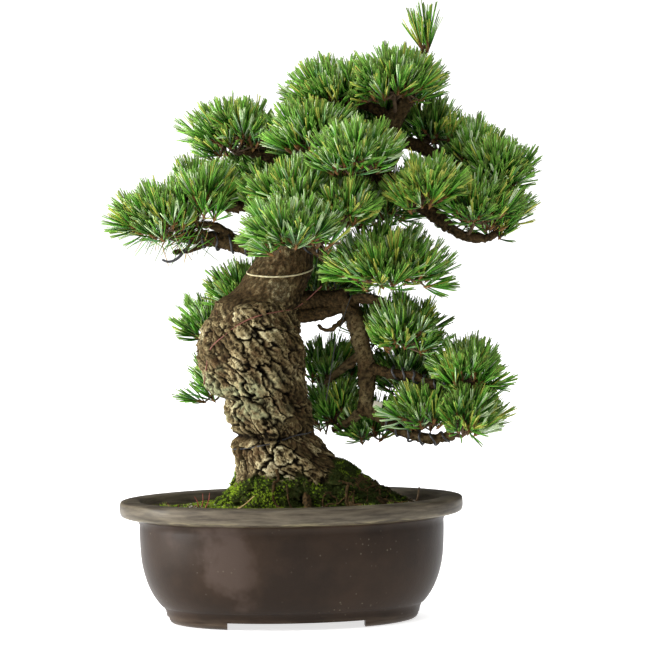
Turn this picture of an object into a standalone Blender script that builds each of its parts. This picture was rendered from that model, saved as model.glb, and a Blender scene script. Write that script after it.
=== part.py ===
import math
import random

import bmesh
import bpy
from mathutils import Matrix, Vector, noise
from mathutils.bvhtree import BVHTree

# Touching pieces stay this far apart.
GAP = 0.0004

# The pot is an oval bowl with a wide lip, standing on four feet and turned a little.
POT_HALF_LENGTH = 0.170
POT_HALF_DEPTH = 0.1325
POT_TURN = math.radians(3.0)
POT_SIDES = 28
FOOT_HEIGHT = 0.0075
LIP_HEIGHT = 0.122
FLOOR_HEIGHT = 0.019
FRONT_GAP = 0.134
END_GAP = 0.032

# Each ring of the pot is (distance in from the lip's outer edge, height).
POT_OUTSIDE = (
    (0.066, FOOT_HEIGHT),
    (0.066, 0.0),
    (0.046, 0.0),
    (0.0435, 0.0155),
    (0.0385, 0.018),
    (0.028, 0.034),
    (0.0205, 0.058),
    (0.019, 0.090),
    (0.0195, 0.103),
    (0.004, 0.1055),
    (0.0, 0.1085),
    (0.0, 0.1195),
    (0.0025, LIP_HEIGHT),
    (0.018, LIP_HEIGHT),
)
POT_INSIDE = ((0.0205, 0.1205), (0.0285, 0.106), (0.030, 0.080), (0.034, 0.050), (0.052, FLOOR_HEIGHT))

# The soil fills the pot to just under the lip and is banked up in hummocks round the tree's foot.
SOIL_EDGE = (0.0272, 0.1095)
SOIL_SEAT = 0.1117
BANK_HEIGHT = 0.1160
BANK_AWAY = 0.0040
SEAT_AWAY = 0.0020
HUMMOCK = 0.0022
HUMMOCK_SPACING = 0.021

# The trunk is (x, y, height, radius, extra half width) up its leaning centre line.
TRUNK_SIDES = 16
LEVEL_BELOW = 0.290
SQUARE_ABOVE = 0.400
TRUNK = (
    (0.016, 0.000, 0.1121, 0.074, 0.018),
    (0.014, 0.000, 0.126, 0.066, 0.010),
    (0.011, 0.000, 0.139, 0.058, 0.006),
    (-0.002, 0.000, 0.159, 0.047, 0.003),
    (-0.009, 0.000, 0.169, 0.0415, 0.003),
    (-0.0115, 0.000, 0.1775, 0.0385, 0.002),
    (-0.0125, 0.000, 0.184, 0.0355, 0.001),
    (-0.0145, 0.000, 0.190, 0.0385, 0.001),
    (-0.019, 0.000, 0.201, 0.0415, 0.000),
    (-0.020, 0.000, 0.212, 0.0415, 0.000),
    (-0.0205, 0.000, 0.2185, 0.0395, 0.000),
    (-0.028, 0.000, 0.2255, 0.0455, 0.000),
    (-0.034, 0.000, 0.239, 0.048, 0.000),
    (-0.037, 0.000, 0.255, 0.052, 0.000),
    (-0.037, 0.000, 0.270, 0.052, 0.000),
    (-0.036, 0.000, 0.287, 0.048, 0.000),
    (-0.0345, 0.000, 0.300, 0.0435, 0.000),
    (-0.0325, 0.000, 0.3095, 0.0405, 0.000),
    (-0.0245, 0.002, 0.3165, 0.0365, 0.000),
    (-0.013, 0.003, 0.334, 0.031, 0.000),
    (-0.004, 0.005, 0.350, 0.029, 0.000),
    (0.001, 0.005, 0.377, 0.026, 0.000),
    (0.016, 0.006, 0.401, 0.023, 0.000),
    (0.044, 0.008, 0.425, 0.020, 0.000),
    (0.074, 0.008, 0.449, 0.016, 0.000),
    (0.096, 0.005, 0.474, 0.012, 0.000),
    (0.110, 0.002, 0.497, 0.009, 0.000),
    (0.121, 0.000, 0.513, 0.007, 0.000),
    (0.129, -0.002, 0.530, 0.005, 0.000),
    (0.135, -0.002, 0.550, 0.0035, 0.000),
    (0.138, 0.000, 0.562, 0.0022, 0.000),
)

# Roots swell the foot at these bearings, by these shares of its reach, and fade out upwards.
ROOTS = ((0.0, 0.10), (45.0, 0.07), (112.0, 0.09), (180.0, 0.05), (225.0, 0.08), (315.0, 0.12))
ROOT_WIDTH = 20.0
ROOT_FOOT = 0.118
ROOT_TOP = 0.172

# The thick old bark stands out in lumps as far up as the graft.
LUMP = 0.0050
LUMP_SPACING = 0.024
LUMPS_FADE = 0.300
LUMPS_END = 0.322

# Limbs thinner than this at the root have four sides, and the others six.
THIN_LIMB = 0.0065

# Each bough is (radius at its root, radius at its tip, its route).
BOUGHS = {
    "left": (0.010, 0.0055, (
        (-0.003, 0.002, 0.368), (-0.048, -0.004, 0.374), (-0.075, -0.007, 0.378), (-0.102, -0.012, 0.382),
    )),
    "left_upper": (0.007, 0.004, (
        (0.016, 0.005, 0.403), (-0.016, -0.012, 0.409), (-0.047, -0.020, 0.412), (-0.066, -0.022, 0.415),
    )),
    "left_high": (0.007, 0.0035, (
        (0.044, 0.008, 0.425), (0.009, 0.016, 0.444), (-0.023, 0.022, 0.460), (-0.042, 0.020, 0.466),
    )),
    "front": (0.007, 0.004, (
        (0.010, 0.005, 0.390), (0.009, -0.035, 0.388), (0.008, -0.068, 0.384),
    )),
    "front_centre": (0.006, 0.003, (
        (0.066, 0.008, 0.443), (0.061, -0.030, 0.448), (0.059, -0.052, 0.450),
    )),
    "top_left": (0.006, 0.003, (
        (0.108, 0.002, 0.493), (0.087, 0.004, 0.506), (0.067, 0.008, 0.511),
    )),
    "right_upper": (0.010, 0.006, (
        (0.074, 0.008, 0.449), (0.095, 0.002, 0.438), (0.116, -0.008, 0.420), (0.141, -0.014, 0.403),
        (0.160, -0.015, 0.386),
    )),
    "right_thin": (0.005, 0.003, (
        (0.160, -0.015, 0.386), (0.176, -0.014, 0.377), (0.197, -0.008, 0.376), (0.210, 0.000, 0.382),
    )),
    "right_high": (0.007, 0.003, (
        (0.098, 0.005, 0.477), (0.129, 0.028, 0.468), (0.158, 0.032, 0.458), (0.185, 0.024, 0.448),
        (0.205, 0.014, 0.440),
    )),
    "mid_right": (0.007, 0.004, (
        (0.000, 0.000, 0.374), (0.028, -0.014, 0.370), (0.050, -0.034, 0.352), (0.072, -0.046, 0.338),
    )),
    "low_1": (0.012, 0.0095, (
        (-0.022, 0.003, 0.311), (0.020, 0.006, 0.313), (0.060, 0.000, 0.318),
    )),
    "low_2": (0.0095, 0.007, (
        (0.058, 0.000, 0.317), (0.067, 0.000, 0.296), (0.073, 0.000, 0.267), (0.077, 0.000, 0.234),
        (0.075, 0.000, 0.209),
    )),
    "low_3": (0.007, 0.004, (
        (0.075, 0.000, 0.211), (0.091, -0.004, 0.199), (0.111, -0.010, 0.186), (0.136, -0.014, 0.178),
        (0.162, -0.016, 0.182),
    )),
    "low_c": (0.005, 0.003, (
        (0.060, 0.000, 0.316), (0.081, -0.014, 0.317), (0.099, -0.020, 0.309), (0.108, -0.021, 0.300),
    )),
    "low_e": (0.005, 0.003, (
        (0.076, 0.000, 0.249), (0.101, -0.018, 0.245), (0.121, -0.026, 0.241), (0.143, -0.030, 0.232),
        (0.170, -0.028, 0.228),
    )),
    "low_f": (0.005, 0.003, (
        (0.074, 0.000, 0.265), (0.052, 0.020, 0.247), (0.036, 0.034, 0.233),
    )),
    "low_g": (0.005, 0.003, (
        (0.075, 0.000, 0.211), (0.059, 0.014, 0.196), (0.043, 0.026, 0.186),
    )),
    "back_left": (0.007, 0.003, (
        (-0.033, 0.010, 0.290), (-0.052, 0.055, 0.279), (-0.068, 0.068, 0.272),
    )),
    "back_mid": (0.008, 0.004, (
        (0.018, 0.006, 0.402), (0.026, 0.050, 0.408), (0.031, 0.088, 0.408),
    )),
    "back_right": (0.006, 0.003, (
        (0.116, -0.008, 0.420), (0.142, 0.040, 0.424), (0.155, 0.070, 0.424),
    )),
}

# Each mass of foliage is (limb, point of its route, centre of its seats, half width, half depth,
# dome height, number of tufts).
MASSES = {
    "left_tip": ("left", 3, (-0.117, -0.012, 0.408), 0.034, 0.030, 0.018, 7),
    "left_mid": ("left_upper", 3, (-0.079, -0.024, 0.427), 0.032, 0.024, 0.008, 6),
    "left_high": ("left_high", 3, (-0.051, 0.018, 0.483), 0.030, 0.022, 0.010, 6),
    "left_back": ("back_mid", 1, (-0.012, 0.055, 0.456), 0.036, 0.026, 0.010, 6),
    "front_low": ("front", 2, (0.009, -0.088, 0.390), 0.038, 0.026, 0.006, 7),
    "front_upper": ("front", 1, (0.005, -0.048, 0.425), 0.034, 0.020, 0.006, 6),
    "front_right": ("front", 1, (0.058, -0.058, 0.411), 0.022, 0.020, 0.006, 4),
    "front_centre": ("front_centre", 2, (0.065, -0.072, 0.463), 0.032, 0.025, 0.006, 6),
    "upper_left": ("left_high", 1, (0.023, -0.020, 0.489), 0.022, 0.022, 0.004, 5),
    "top_left": ("top_left", 2, (0.047, 0.010, 0.530), 0.034, 0.022, 0.010, 6),
    "apex": ("trunk", 26, (0.108, -0.016, 0.532), 0.024, 0.016, 0.008, 5),
    "apex_back": ("trunk", 26, (0.134, 0.024, 0.532), 0.018, 0.014, 0.006, 4),
    "leader": ("trunk", 30, (0.141, 0.000, 0.576), 0.004, 0.004, 0.000, 2),
    "right_top": ("right_high", 1, (0.145, 0.040, 0.486), 0.018, 0.018, 0.004, 3),
    "right_front": ("right_upper", 2, (0.135, -0.062, 0.427), 0.014, 0.016, 0.004, 5),
    "right_high": ("right_high", 3, (0.186, 0.040, 0.472), 0.028, 0.024, 0.008, 6),
    "right_tip": ("right_high", 4, (0.215, 0.000, 0.446), 0.012, 0.020, 0.004, 4),
    "right_mid": ("right_thin", 1, (0.186, -0.024, 0.410), 0.026, 0.024, 0.006, 6),
    "right_low": ("right_thin", 3, (0.212, 0.004, 0.393), 0.008, 0.012, 0.000, 3),
    "inner_right": ("right_upper", 1, (0.100, 0.052, 0.414), 0.020, 0.017, 0.004, 4),
    "mid_right": ("mid_right", 3, (0.097, -0.056, 0.367), 0.043, 0.026, 0.020, 9),
    "mid_low": ("low_c", 3, (0.120, -0.018, 0.294), 0.022, 0.024, 0.006, 6),
    "low_right_high": ("low_e", 4, (0.176, -0.032, 0.254), 0.015, 0.012, 0.004, 4),
    "low_right_tip": ("low_3", 4, (0.175, -0.018, 0.202), 0.018, 0.028, 0.008, 6),
    "low_mid": ("low_3", 2, (0.138, -0.008, 0.208), 0.024, 0.026, 0.006, 6),
    "low_centre": ("low_e", 1, (0.120, 0.028, 0.247), 0.022, 0.020, 0.004, 5),
    "low_left": ("low_f", 2, (0.044, 0.046, 0.208), 0.017, 0.020, 0.004, 5),
    "behind_limb": ("low_f", 1, (0.040, 0.070, 0.256), 0.016, 0.016, 0.004, 4),
    "low_under": ("low_g", 1, (0.078, 0.038, 0.190), 0.022, 0.018, 0.006, 4),
    "limb_right": ("low_2", 1, (0.093, 0.034, 0.288), 0.018, 0.016, 0.004, 4),
    "back_left_top": ("trunk", 19, (-0.051, 0.062, 0.328), 0.020, 0.018, 0.004, 4),
    "back_left_mid": ("back_left", 2, (-0.079, 0.082, 0.297), 0.012, 0.014, 0.002, 3),
    "back_left_low": ("back_left", 1, (-0.069, 0.080, 0.241), 0.014, 0.016, 0.004, 4),
    "back_low": ("trunk", 18, (0.034, 0.082, 0.336), 0.026, 0.018, 0.006, 5),
    "back_mid": ("back_mid", 2, (0.036, 0.110, 0.422), 0.034, 0.026, 0.008, 6),
    "back_high": ("trunk", 25, (0.088, 0.066, 0.501), 0.032, 0.024, 0.006, 5),
    "back_right": ("back_right", 2, (0.166, 0.092, 0.435), 0.028, 0.026, 0.006, 5),
}

# The needles of these masses stand closer together than elsewhere.
CLOSED = {"leader": 0.5}

# A tuft is a slim core on a twig, with three rings of stiff needles, the lowest nearly square to it.
NEEDLE = 0.041
CORE_RADIUS = 0.0045
CORE_STRETCH = 2.2
# Faces of the core up to these slopes in degrees bear needles that lean out by these angles.
OPENINGS = ((60.0, math.radians(22.0)), (90.0, math.radians(50.0)), (120.0, math.radians(78.0)))
SHORTEST_NEEDLE = 0.6
STEM_RADIUS = 0.0022
TWIG_RADIUS = 0.0013
HUB_DEPTH = 0.009
STEM_PAST_HUB = 0.003
STEM_SHARE = 0.4
TWIG_SUNK = 0.004
MOST_BEND = math.cos(math.radians(65.0))
WIDE_MASS_BIAS = 0.5
GOLDEN_TURN = math.pi * (3.0 - math.sqrt(5.0))
NEEDLE_ROOM = 0.0005
TUFT_OVERLAP = 0.001
CORE_ROOM = 0.006
TWIG_ROOM = 0.001
CELL_RISE = Vector((0.0, 0.0, 0.005))


def clear_scene():
    for obj in list(bpy.data.objects):
        bpy.data.objects.remove(obj, do_unlink=True)


def new_collection(name):
    made = bpy.data.collections.new(name)
    bpy.context.scene.collection.children.link(made)
    return made


def mesh_object(name, bm, collection):
    mesh = bpy.data.meshes.new(name)
    bm.to_mesh(mesh)
    bm.free()
    obj = bpy.data.objects.new(name, mesh)
    collection.objects.link(obj)
    return obj


def paint(obj, colour, roughness):
    material = bpy.data.materials.new(obj.name)
    material.use_nodes = True
    shader = material.node_tree.nodes["Principled BSDF"]
    shader.inputs["Base Color"].default_value = (*colour, 1.0)
    shader.inputs["Roughness"].default_value = roughness
    shader.inputs["Metallic"].default_value = 0.0
    obj.data.materials.clear()
    obj.data.materials.append(material)


def smooth(obj, angle):
    obj.data.shade_smooth()
    obj.data.set_sharp_from_angle(angle=math.radians(angle))


def loft(bm, rings):
    """Closed skin through rings of points that all run counter-clockwise about the way they climb."""
    rows = [[bm.verts.new(point) for point in ring] for ring in rings]
    sides = len(rows[0])
    for low, high in zip(rows, rows[1:]):
        for i in range(sides):
            j = (i + 1) % sides
            bm.faces.new((low[i], low[j], high[j], high[i]))
    bm.faces.new(rows[0][::-1])
    bm.faces.new(rows[-1])


def oval(inset, height):
    turn = Matrix.Rotation(POT_TURN, 3, "Z")
    across = POT_HALF_LENGTH - inset
    deep = POT_HALF_DEPTH - inset
    angles = [2.0 * math.pi * i / POT_SIDES for i in range(POT_SIDES)]
    return [turn @ Vector((across * math.cos(a), deep * math.sin(a), height)) for a in angles]


def applied(obj):
    """Replaces the object's mesh by the one its modifiers give."""
    graph = bpy.context.evaluated_depsgraph_get()
    mesh = bpy.data.meshes.new_from_object(obj.evaluated_get(graph))
    obj.modifiers.clear()
    obj.data = mesh


def boolean(obj, operation, helpers):
    modifier = obj.modifiers.new(operation.title(), "BOOLEAN")
    modifier.operation = operation
    modifier.solver = "EXACT"
    modifier.operand_type = "COLLECTION"
    modifier.collection = helpers
    applied(obj)


def extent(verts):
    return sum(max(vert.co[k] for vert in verts) - min(vert.co[k] for vert in verts) for k in range(3))


def keep_largest(obj):
    """Drops loose scraps and the walls of sealed hollows."""
    bm = bmesh.new()
    bm.from_mesh(obj.data)
    left = set(bm.verts)
    islands = []
    while left:
        front = [left.pop()]
        island = set(front)
        while front:
            vert = front.pop()
            near = {edge.other_vert(vert) for edge in vert.link_edges} - island
            island |= near
            left -= near
            front.extend(near)
        islands.append(island)
    islands.sort(key=extent)
    scraps = [vert for island in islands[:-1] for vert in island]
    bmesh.ops.delete(bm, geom=scraps, context="VERTS")
    bm.to_mesh(obj.data)
    bm.free()


def box(name, size, centre, collection):
    bm = bmesh.new()
    bmesh.ops.create_cube(bm, size=1.0, matrix=Matrix.LocRotScale(centre, None, size))
    return mesh_object(name, bm, collection)


def make_pot(collection, helpers):
    bm = bmesh.new()
    loft(bm, [oval(inset, height) for inset, height in POT_OUTSIDE + POT_INSIDE])
    pot = mesh_object("pot", bm, collection)
    wide = 3.0 * POT_HALF_LENGTH
    gaps = (
        box("front_gap", Vector((FRONT_GAP, wide, 2 * FOOT_HEIGHT)), Vector(), helpers),
        box("end_gap", Vector((wide, END_GAP, 2 * FOOT_HEIGHT)), Vector(), helpers),
    )
    for gap in gaps:
        gap.rotation_euler.z = POT_TURN
    boolean(pot, "DIFFERENCE", helpers)
    for gap in gaps:
        bpy.data.objects.remove(gap, do_unlink=True)
    smooth(pot, 35.0)
    paint(pot, (0.075, 0.050, 0.036), 0.55)
    return pot


def trunk_reach(row, angle):
    """How far the trunk's skin stands from its centre line at this row."""
    _, _, height, radius, wider = row
    foot = min(max((ROOT_TOP - height) / (ROOT_TOP - ROOT_FOOT), 0.0), 1.0)
    swell = 0.0
    for bearing, share in ROOTS:
        off = (math.degrees(angle) - bearing + 180.0) % 360.0 - 180.0
        swell += share * math.exp(-(off / ROOT_WIDTH) ** 2)
    return (radius + wider * math.cos(2.0 * angle)) * (1.0 + foot * swell)


def lump_at(place):
    fade = min(max((LUMPS_END - place.z) / (LUMPS_END - LUMPS_FADE), 0.0), 1.0)
    return LUMP * fade * noise.noise(place / LUMP_SPACING)


def round_foot(away, height, hummock):
    """A ring of soil that keeps this far from the trunk's foot, with hummocks up to this high."""
    centre = Vector(TRUNK[0][:3])
    ring = []
    for i in range(POT_SIDES):
        angle = 2.0 * math.pi * i / POT_SIDES
        out = Vector((math.cos(angle), math.sin(angle), 0.0))
        skin = centre + out * trunk_reach(TRUNK[0], angle)
        place = skin + out * (lump_at(skin) + away)
        place.z = height + hummock * noise.noise(place / HUMMOCK_SPACING)
        ring.append(place)
    return ring


def make_soil(collection):
    walls = [(inset + GAP, height) for inset, height in POT_INSIDE[:0:-1]]
    walls[0] = (walls[0][0], FLOOR_HEIGHT + GAP)
    rings = [oval(inset, height) for inset, height in (*walls, SOIL_EDGE)]
    rings.append(round_foot(BANK_AWAY, BANK_HEIGHT, HUMMOCK))
    rings.append(round_foot(SEAT_AWAY, SOIL_SEAT, 0.0))
    bm = bmesh.new()
    loft(bm, rings)
    soil = mesh_object("soil", bm, collection)
    paint(soil, (0.055, 0.042, 0.028), 0.95)
    return soil


def direction(route, i):
    low = Vector(route[max(i - 1, 0)])
    high = Vector(route[min(i + 1, len(route) - 1)])
    return (high - low).normalized()


def trunk_rings(grow):
    """Rings that lie level in the old lower trunk and turn square to the centre line above it."""
    route = [row[:3] for row in TRUNK]
    rings = []
    for i, row in enumerate(TRUNK):
        x, y, height = row[:3]
        turned = min(max((height - LEVEL_BELOW) / (SQUARE_ABOVE - LEVEL_BELOW), 0.0), 1.0)
        up = Vector((0.0, 0.0, 1.0)).lerp(direction(route, i), turned).normalized()
        side = (Vector((1.0, 0.0, 0.0)) - up * up.x).normalized()
        depth = up.cross(side)
        centre = Vector((x, y, height)) + up * (grow if i == len(TRUNK) - 1 else 0.0)
        ring = []
        for k in range(TRUNK_SIDES):
            angle = 2.0 * math.pi * k / TRUNK_SIDES
            out = side * math.cos(angle) + depth * math.sin(angle)
            skin = centre + out * trunk_reach(row, angle)
            ring.append(skin + out * (lump_at(skin) + grow))
        rings.append(ring)
    return rings


def make_trunk(collection, grow=0.0):
    bm = bmesh.new()
    loft(bm, trunk_rings(grow))
    trunk = mesh_object("trunk", bm, collection)
    smooth(trunk, 60.0)
    paint(trunk, (0.22, 0.17, 0.12), 0.9)
    return trunk


def tube(name, route, radii, collection, grow=0.0):
    """A tapering limb through the route's points, longer by grow at its tip."""
    curve = bpy.data.curves.new(name, "CURVE")
    curve.dimensions = "3D"
    curve.bevel_depth = 1.0
    curve.bevel_resolution = 1 if radii[0] > THIN_LIMB else 0
    curve.use_fill_caps = True
    curve.resolution_u = 2
    spline = curve.splines.new("BEZIER")
    spline.bezier_points.add(len(route) - 1)
    tip = Vector(route[-1]) + direction(route, len(route) - 1) * grow
    for knot, place, radius in zip(spline.bezier_points, (*route[:-1], tip), radii):
        knot.co = place
        knot.radius = radius + grow
        knot.handle_left_type = "AUTO"
        knot.handle_right_type = "AUTO"
    guide = bpy.data.objects.new(name + "_curve", curve)
    collection.objects.link(guide)
    graph = bpy.context.evaluated_depsgraph_get()
    mesh = bpy.data.meshes.new_from_object(guide.evaluated_get(graph))
    bpy.data.objects.remove(guide, do_unlink=True)
    bm = bmesh.new()
    bm.from_mesh(mesh)
    bmesh.ops.remove_doubles(bm, verts=bm.verts, dist=1e-6)
    bmesh.ops.recalc_face_normals(bm, faces=bm.faces)
    return mesh_object(name, bm, collection)


def make_bough(name, collection, grown):
    """A limb cut to fit what it grows from, and its slightly fatter copy that cuts the next ones."""
    root, tip, route = BOUGHS[name]
    last = len(route) - 1
    radii = [root + (tip - root) * i / last for i in range(len(route))]
    bough = tube("bough_" + name, route, radii, collection)
    boolean(bough, "DIFFERENCE", grown)
    keep_largest(bough)
    smooth(bough, 60.0)
    paint(bough, (0.20, 0.15, 0.11), 0.85)
    tube(name + "_grown", route, radii, grown, GAP)
    return bough


def rod(bm, start, end, root, tip, sides):
    along = end - start
    turn = along.to_track_quat("Z", "Y").to_matrix().to_4x4()
    bmesh.ops.create_cone(
        bm, cap_ends=True, segments=sides, radius1=root, radius2=tip, depth=along.length,
        matrix=Matrix.Translation((start + end) / 2.0) @ turn,
    )


def tree_of(obj):
    bm = bmesh.new()
    bm.from_mesh(obj.data)
    tree = BVHTree.FromBMesh(bm)
    bm.free()
    return tree


def blocked(trees, start, end, half_root, half_tip):
    """Whether a straight taper would touch any of the solids."""
    along = end - start
    steps = max(3, math.ceil(along.length / 0.004))
    for tree in trees:
        if tree.ray_cast(start, along.normalized(), along.length)[0] is not None:
            return True
        for i in range(steps + 1):
            share = i / steps
            room = NEEDLE_ROOM + half_root + (half_tip - half_root) * share
            if tree.find_nearest(start + along * share, room)[0] is not None:
                return True
    return False


def heart(name):
    return Vector(MASSES[name][2]) + CELL_RISE


def wall_between(own, other, lead=0.0):
    """A flat wall between two places: its normal points out, and lead moves it away from the first."""
    apart = other - own
    normal = apart.normalized()
    return normal, normal.dot(own + other) / 2.0 + lead


def cell_of(name):
    """The walls of a mass's own space, which wider masses push away from themselves."""
    own = heart(name)
    reach = max(MASSES[name][3:5]) ** 2
    walls = []
    for other in MASSES:
        if other != name:
            apart = (heart(other) - own).length
            lead = WIDE_MASS_BIAS * (reach - max(MASSES[other][3:5]) ** 2) / (2.0 * apart)
            walls.append(wall_between(own, heart(other), lead))
    return walls


def room_in(walls, place):
    return min(distance - normal.dot(place) for normal, distance in walls)


def share_in(walls, start, end):
    """How much of the way from start to end stays inside the walls."""
    share = 1.0
    for normal, distance in walls:
        ahead = normal.dot(end - start)
        if ahead > 0.0:
            share = min(share, (distance - NEEDLE_ROOM - normal.dot(start)) / ahead)
    return share


def seats_of(name):
    """Places and directions of a mass's tufts: upright in the middle, leaning out at the edge."""
    _, _, centre, half_width, half_depth, dome, count = MASSES[name]
    rng = random.Random(name)
    start = rng.uniform(0.0, 2.0 * math.pi)
    seats = []
    for i in range(count):
        ring = math.sqrt((i + 0.5) / count)
        angle = start + i * GOLDEN_TURN + rng.uniform(-0.2, 0.2)
        across = ring * math.cos(angle)
        deep = ring * math.sin(angle)
        lift = rng.uniform(-0.003, 0.003)
        place = Vector(centre) + Vector((across * half_width, deep * half_depth, lift - dome * ring * ring))
        lean = Vector((rng.uniform(-0.15, 0.15), rng.uniform(-0.15, 0.15), 0.0))
        aim = (Vector((across * 1.1, deep * 1.1, 1.0)) + lean).normalized()
        seats.append((place, aim))
    return seats


def hub_of(name):
    _, _, centre, _, _, dome, _ = MASSES[name]
    return Vector(centre) - Vector((0.0, 0.0, dome + HUB_DEPTH))


def root_of(name):
    limb, point = MASSES[name][:2]
    route = [row[:3] for row in TRUNK] if limb == "trunk" else BOUGHS[limb][2]
    place = Vector(route[point])
    if point == len(route) - 1:
        place -= direction(route, point) * 0.003
    return place


def make_stem(name, collection, grown):
    root = root_of(name)
    hub = hub_of(name)
    along = (hub - root).normalized()
    bm = bmesh.new()
    rod(bm, root, hub + along * STEM_PAST_HUB, STEM_RADIUS, TWIG_RADIUS, 5)
    stem = mesh_object("foliage_" + name, bm, collection)
    boolean(stem, "DIFFERENCE", grown)
    keep_largest(stem)
    return stem


def opening_of(face):
    """How far from upright the needle on a face of the core leans, or none on its underside."""
    middle = face.calc_center_median()
    slope = math.degrees(math.atan2(math.hypot(middle.x, middle.y), middle.z / CORE_STRETCH))
    for limit, opening in OPENINGS:
        if slope < limit:
            return opening
    return None


def make_tuft(name, place, aim, root, squeeze, rng, walls, trees, collection):
    """A core with needles poked out of its faces, whose underside is drawn out to its root as a twig.

    A needle that would pass a wall is shortened, and left out where little of it would be left
    or where it would touch a limb."""
    bm = bmesh.new()
    bmesh.ops.create_icosphere(bm, subdivisions=1, radius=CORE_RADIUS)
    bmesh.ops.scale(bm, vec=(1.0, 1.0, CORE_STRETCH), verts=bm.verts)
    turn = aim.to_track_quat("Z", "Y").to_matrix() @ Matrix.Rotation(rng.uniform(0.0, 6.28), 3, "Z")
    for face in list(bm.faces):
        opening = opening_of(face)
        start = face.calc_center_median()
        length = NEEDLE * rng.uniform(0.86, 1.06)
        bearing = math.atan2(start.y, start.x) + rng.uniform(-0.12, 0.12)
        if opening is None:
            continue
        flat = math.sin(opening * squeeze) * length
        upright = math.cos(opening * squeeze) * length
        tip = Vector((flat * math.cos(bearing), flat * math.sin(bearing), upright))
        share = share_in(walls, place, place + turn @ tip)
        tip *= min(share, 1.0)
        clear = not blocked(trees, place + turn @ start, place + turn @ tip, CORE_RADIUS / 2.0, 0.0)
        if share > SHORTEST_NEEDLE and clear:
            bmesh.ops.poke(bm, faces=[face])["verts"][0].co = tip
    lowest = min(bm.verts, key=lambda vert: vert.co.z)
    bmesh.ops.transform(bm, matrix=Matrix.Translation(place) @ turn.to_4x4(), verts=bm.verts)
    lowest.co = root
    return mesh_object(name, bm, collection)


def grow_mass(name, stem, trees, helpers):
    """Fuses the stem and its tufts into one solid in the mass's own space."""
    rng = random.Random(name + " needles")
    walls = cell_of(name)
    root = root_of(name)
    hub = hub_of(name)
    seats = seats_of(name)
    for i, (place, aim) in enumerate(seats):
        near = [wall_between(place, seat, TUFT_OVERLAP) for seat, _ in seats if seat != place]
        for leaves in (hub + (root - hub) * STEM_SHARE * rng.random(), hub):
            sunk = leaves + (leaves - place).normalized() * TWIG_SUNK
            inside = room_in(walls, sunk) > TWIG_ROOM and room_in(walls, place) > CORE_ROOM
            straight = (place - leaves).normalized().dot(aim) > MOST_BEND
            if inside and straight and not blocked(trees, sunk, place, TWIG_RADIUS, CORE_RADIUS):
                squeeze = CLOSED.get(name, 1.0)
                make_tuft(f"tuft_{i}", place, aim, sunk, squeeze, rng, walls + near, trees, helpers)
                break
    boolean(stem, "UNION", helpers)
    for obj in list(helpers.objects):
        bpy.data.objects.remove(obj, do_unlink=True)
    keep_largest(stem)
    green = rng.uniform(0.85, 1.15)
    paint(stem, (0.05 * green, 0.16 * green, 0.05 * green), 0.6)


def stand_over_origin(objects):
    """Moves everything sideways until the middle of the whole stands over the origin."""
    corners = [obj.matrix_world @ vert.co for obj in objects for vert in obj.data.vertices]
    middle = Vector((
        (min(c.x for c in corners) + max(c.x for c in corners)) / 2.0,
        (min(c.y for c in corners) + max(c.y for c in corners)) / 2.0,
        0.0,
    ))
    for obj in objects:
        obj.location -= middle


def main():
    clear_scene()
    bonsai = new_collection("white_pine_bonsai")
    helpers = new_collection("helpers")
    grown = new_collection("grown_limbs")
    make_pot(bonsai, helpers)
    make_soil(bonsai)
    make_trunk(bonsai)
    make_trunk(grown, GAP)
    limbs = [bonsai.objects["trunk"]]
    for name in BOUGHS:
        limbs.append(make_bough(name, bonsai, grown))
    stems = {name: make_stem(name, bonsai, grown) for name in MASSES}
    for obj in list(grown.objects):
        bpy.data.objects.remove(obj, do_unlink=True)
    bpy.data.collections.remove(grown)
    limb_trees = [tree_of(obj) for obj in (*limbs, bonsai.objects["pot"], bonsai.objects["soil"])]
    stem_trees = {name: tree_of(stem) for name, stem in stems.items()}
    for name, stem in stems.items():
        others = [tree for other, tree in stem_trees.items() if other != name]
        grow_mass(name, stem, limb_trees + others, helpers)
    bpy.data.collections.remove(helpers)
    bpy.context.view_layer.update()
    stand_over_origin(list(bonsai.objects))


main()
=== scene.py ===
import math
import random
import zlib

import bmesh
import bpy
import numpy as np
from mathutils import Matrix, Vector, kdtree, noise
from mathutils.bvhtree import BVHTree


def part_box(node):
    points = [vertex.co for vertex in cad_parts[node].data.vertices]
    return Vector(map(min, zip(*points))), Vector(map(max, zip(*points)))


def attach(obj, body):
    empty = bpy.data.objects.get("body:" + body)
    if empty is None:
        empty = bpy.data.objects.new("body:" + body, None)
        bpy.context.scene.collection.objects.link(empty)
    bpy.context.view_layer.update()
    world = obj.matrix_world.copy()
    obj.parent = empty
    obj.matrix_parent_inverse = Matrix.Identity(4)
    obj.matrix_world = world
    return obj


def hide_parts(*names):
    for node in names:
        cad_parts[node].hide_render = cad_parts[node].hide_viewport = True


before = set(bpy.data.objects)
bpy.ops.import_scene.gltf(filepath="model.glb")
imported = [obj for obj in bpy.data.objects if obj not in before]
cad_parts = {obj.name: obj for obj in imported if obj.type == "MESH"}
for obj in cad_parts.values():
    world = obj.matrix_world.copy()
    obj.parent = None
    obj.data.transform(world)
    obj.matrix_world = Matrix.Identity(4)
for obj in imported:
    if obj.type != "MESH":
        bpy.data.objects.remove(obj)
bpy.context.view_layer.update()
potLow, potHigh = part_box("pot")
potCentre = Vector(((potLow.x + potHigh.x) / 2, (potLow.y + potHigh.y) / 2, 0.0))
upwards = Vector((0.0, 0.0, 1.0))
goldenTurn = math.pi * (3.0 - math.sqrt(5.0))

# All shapes below are worked out with the middle of the pot at the origin,
# and finishPiece moves them to where the frame has the pot.

cameraView = {
    "place": (0.0363, -3.0, 0.388),
    "target": (0.0363, 0.0, 0.292),
    "lens": 168.09,
    "roll": math.radians(1.0),
}


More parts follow.
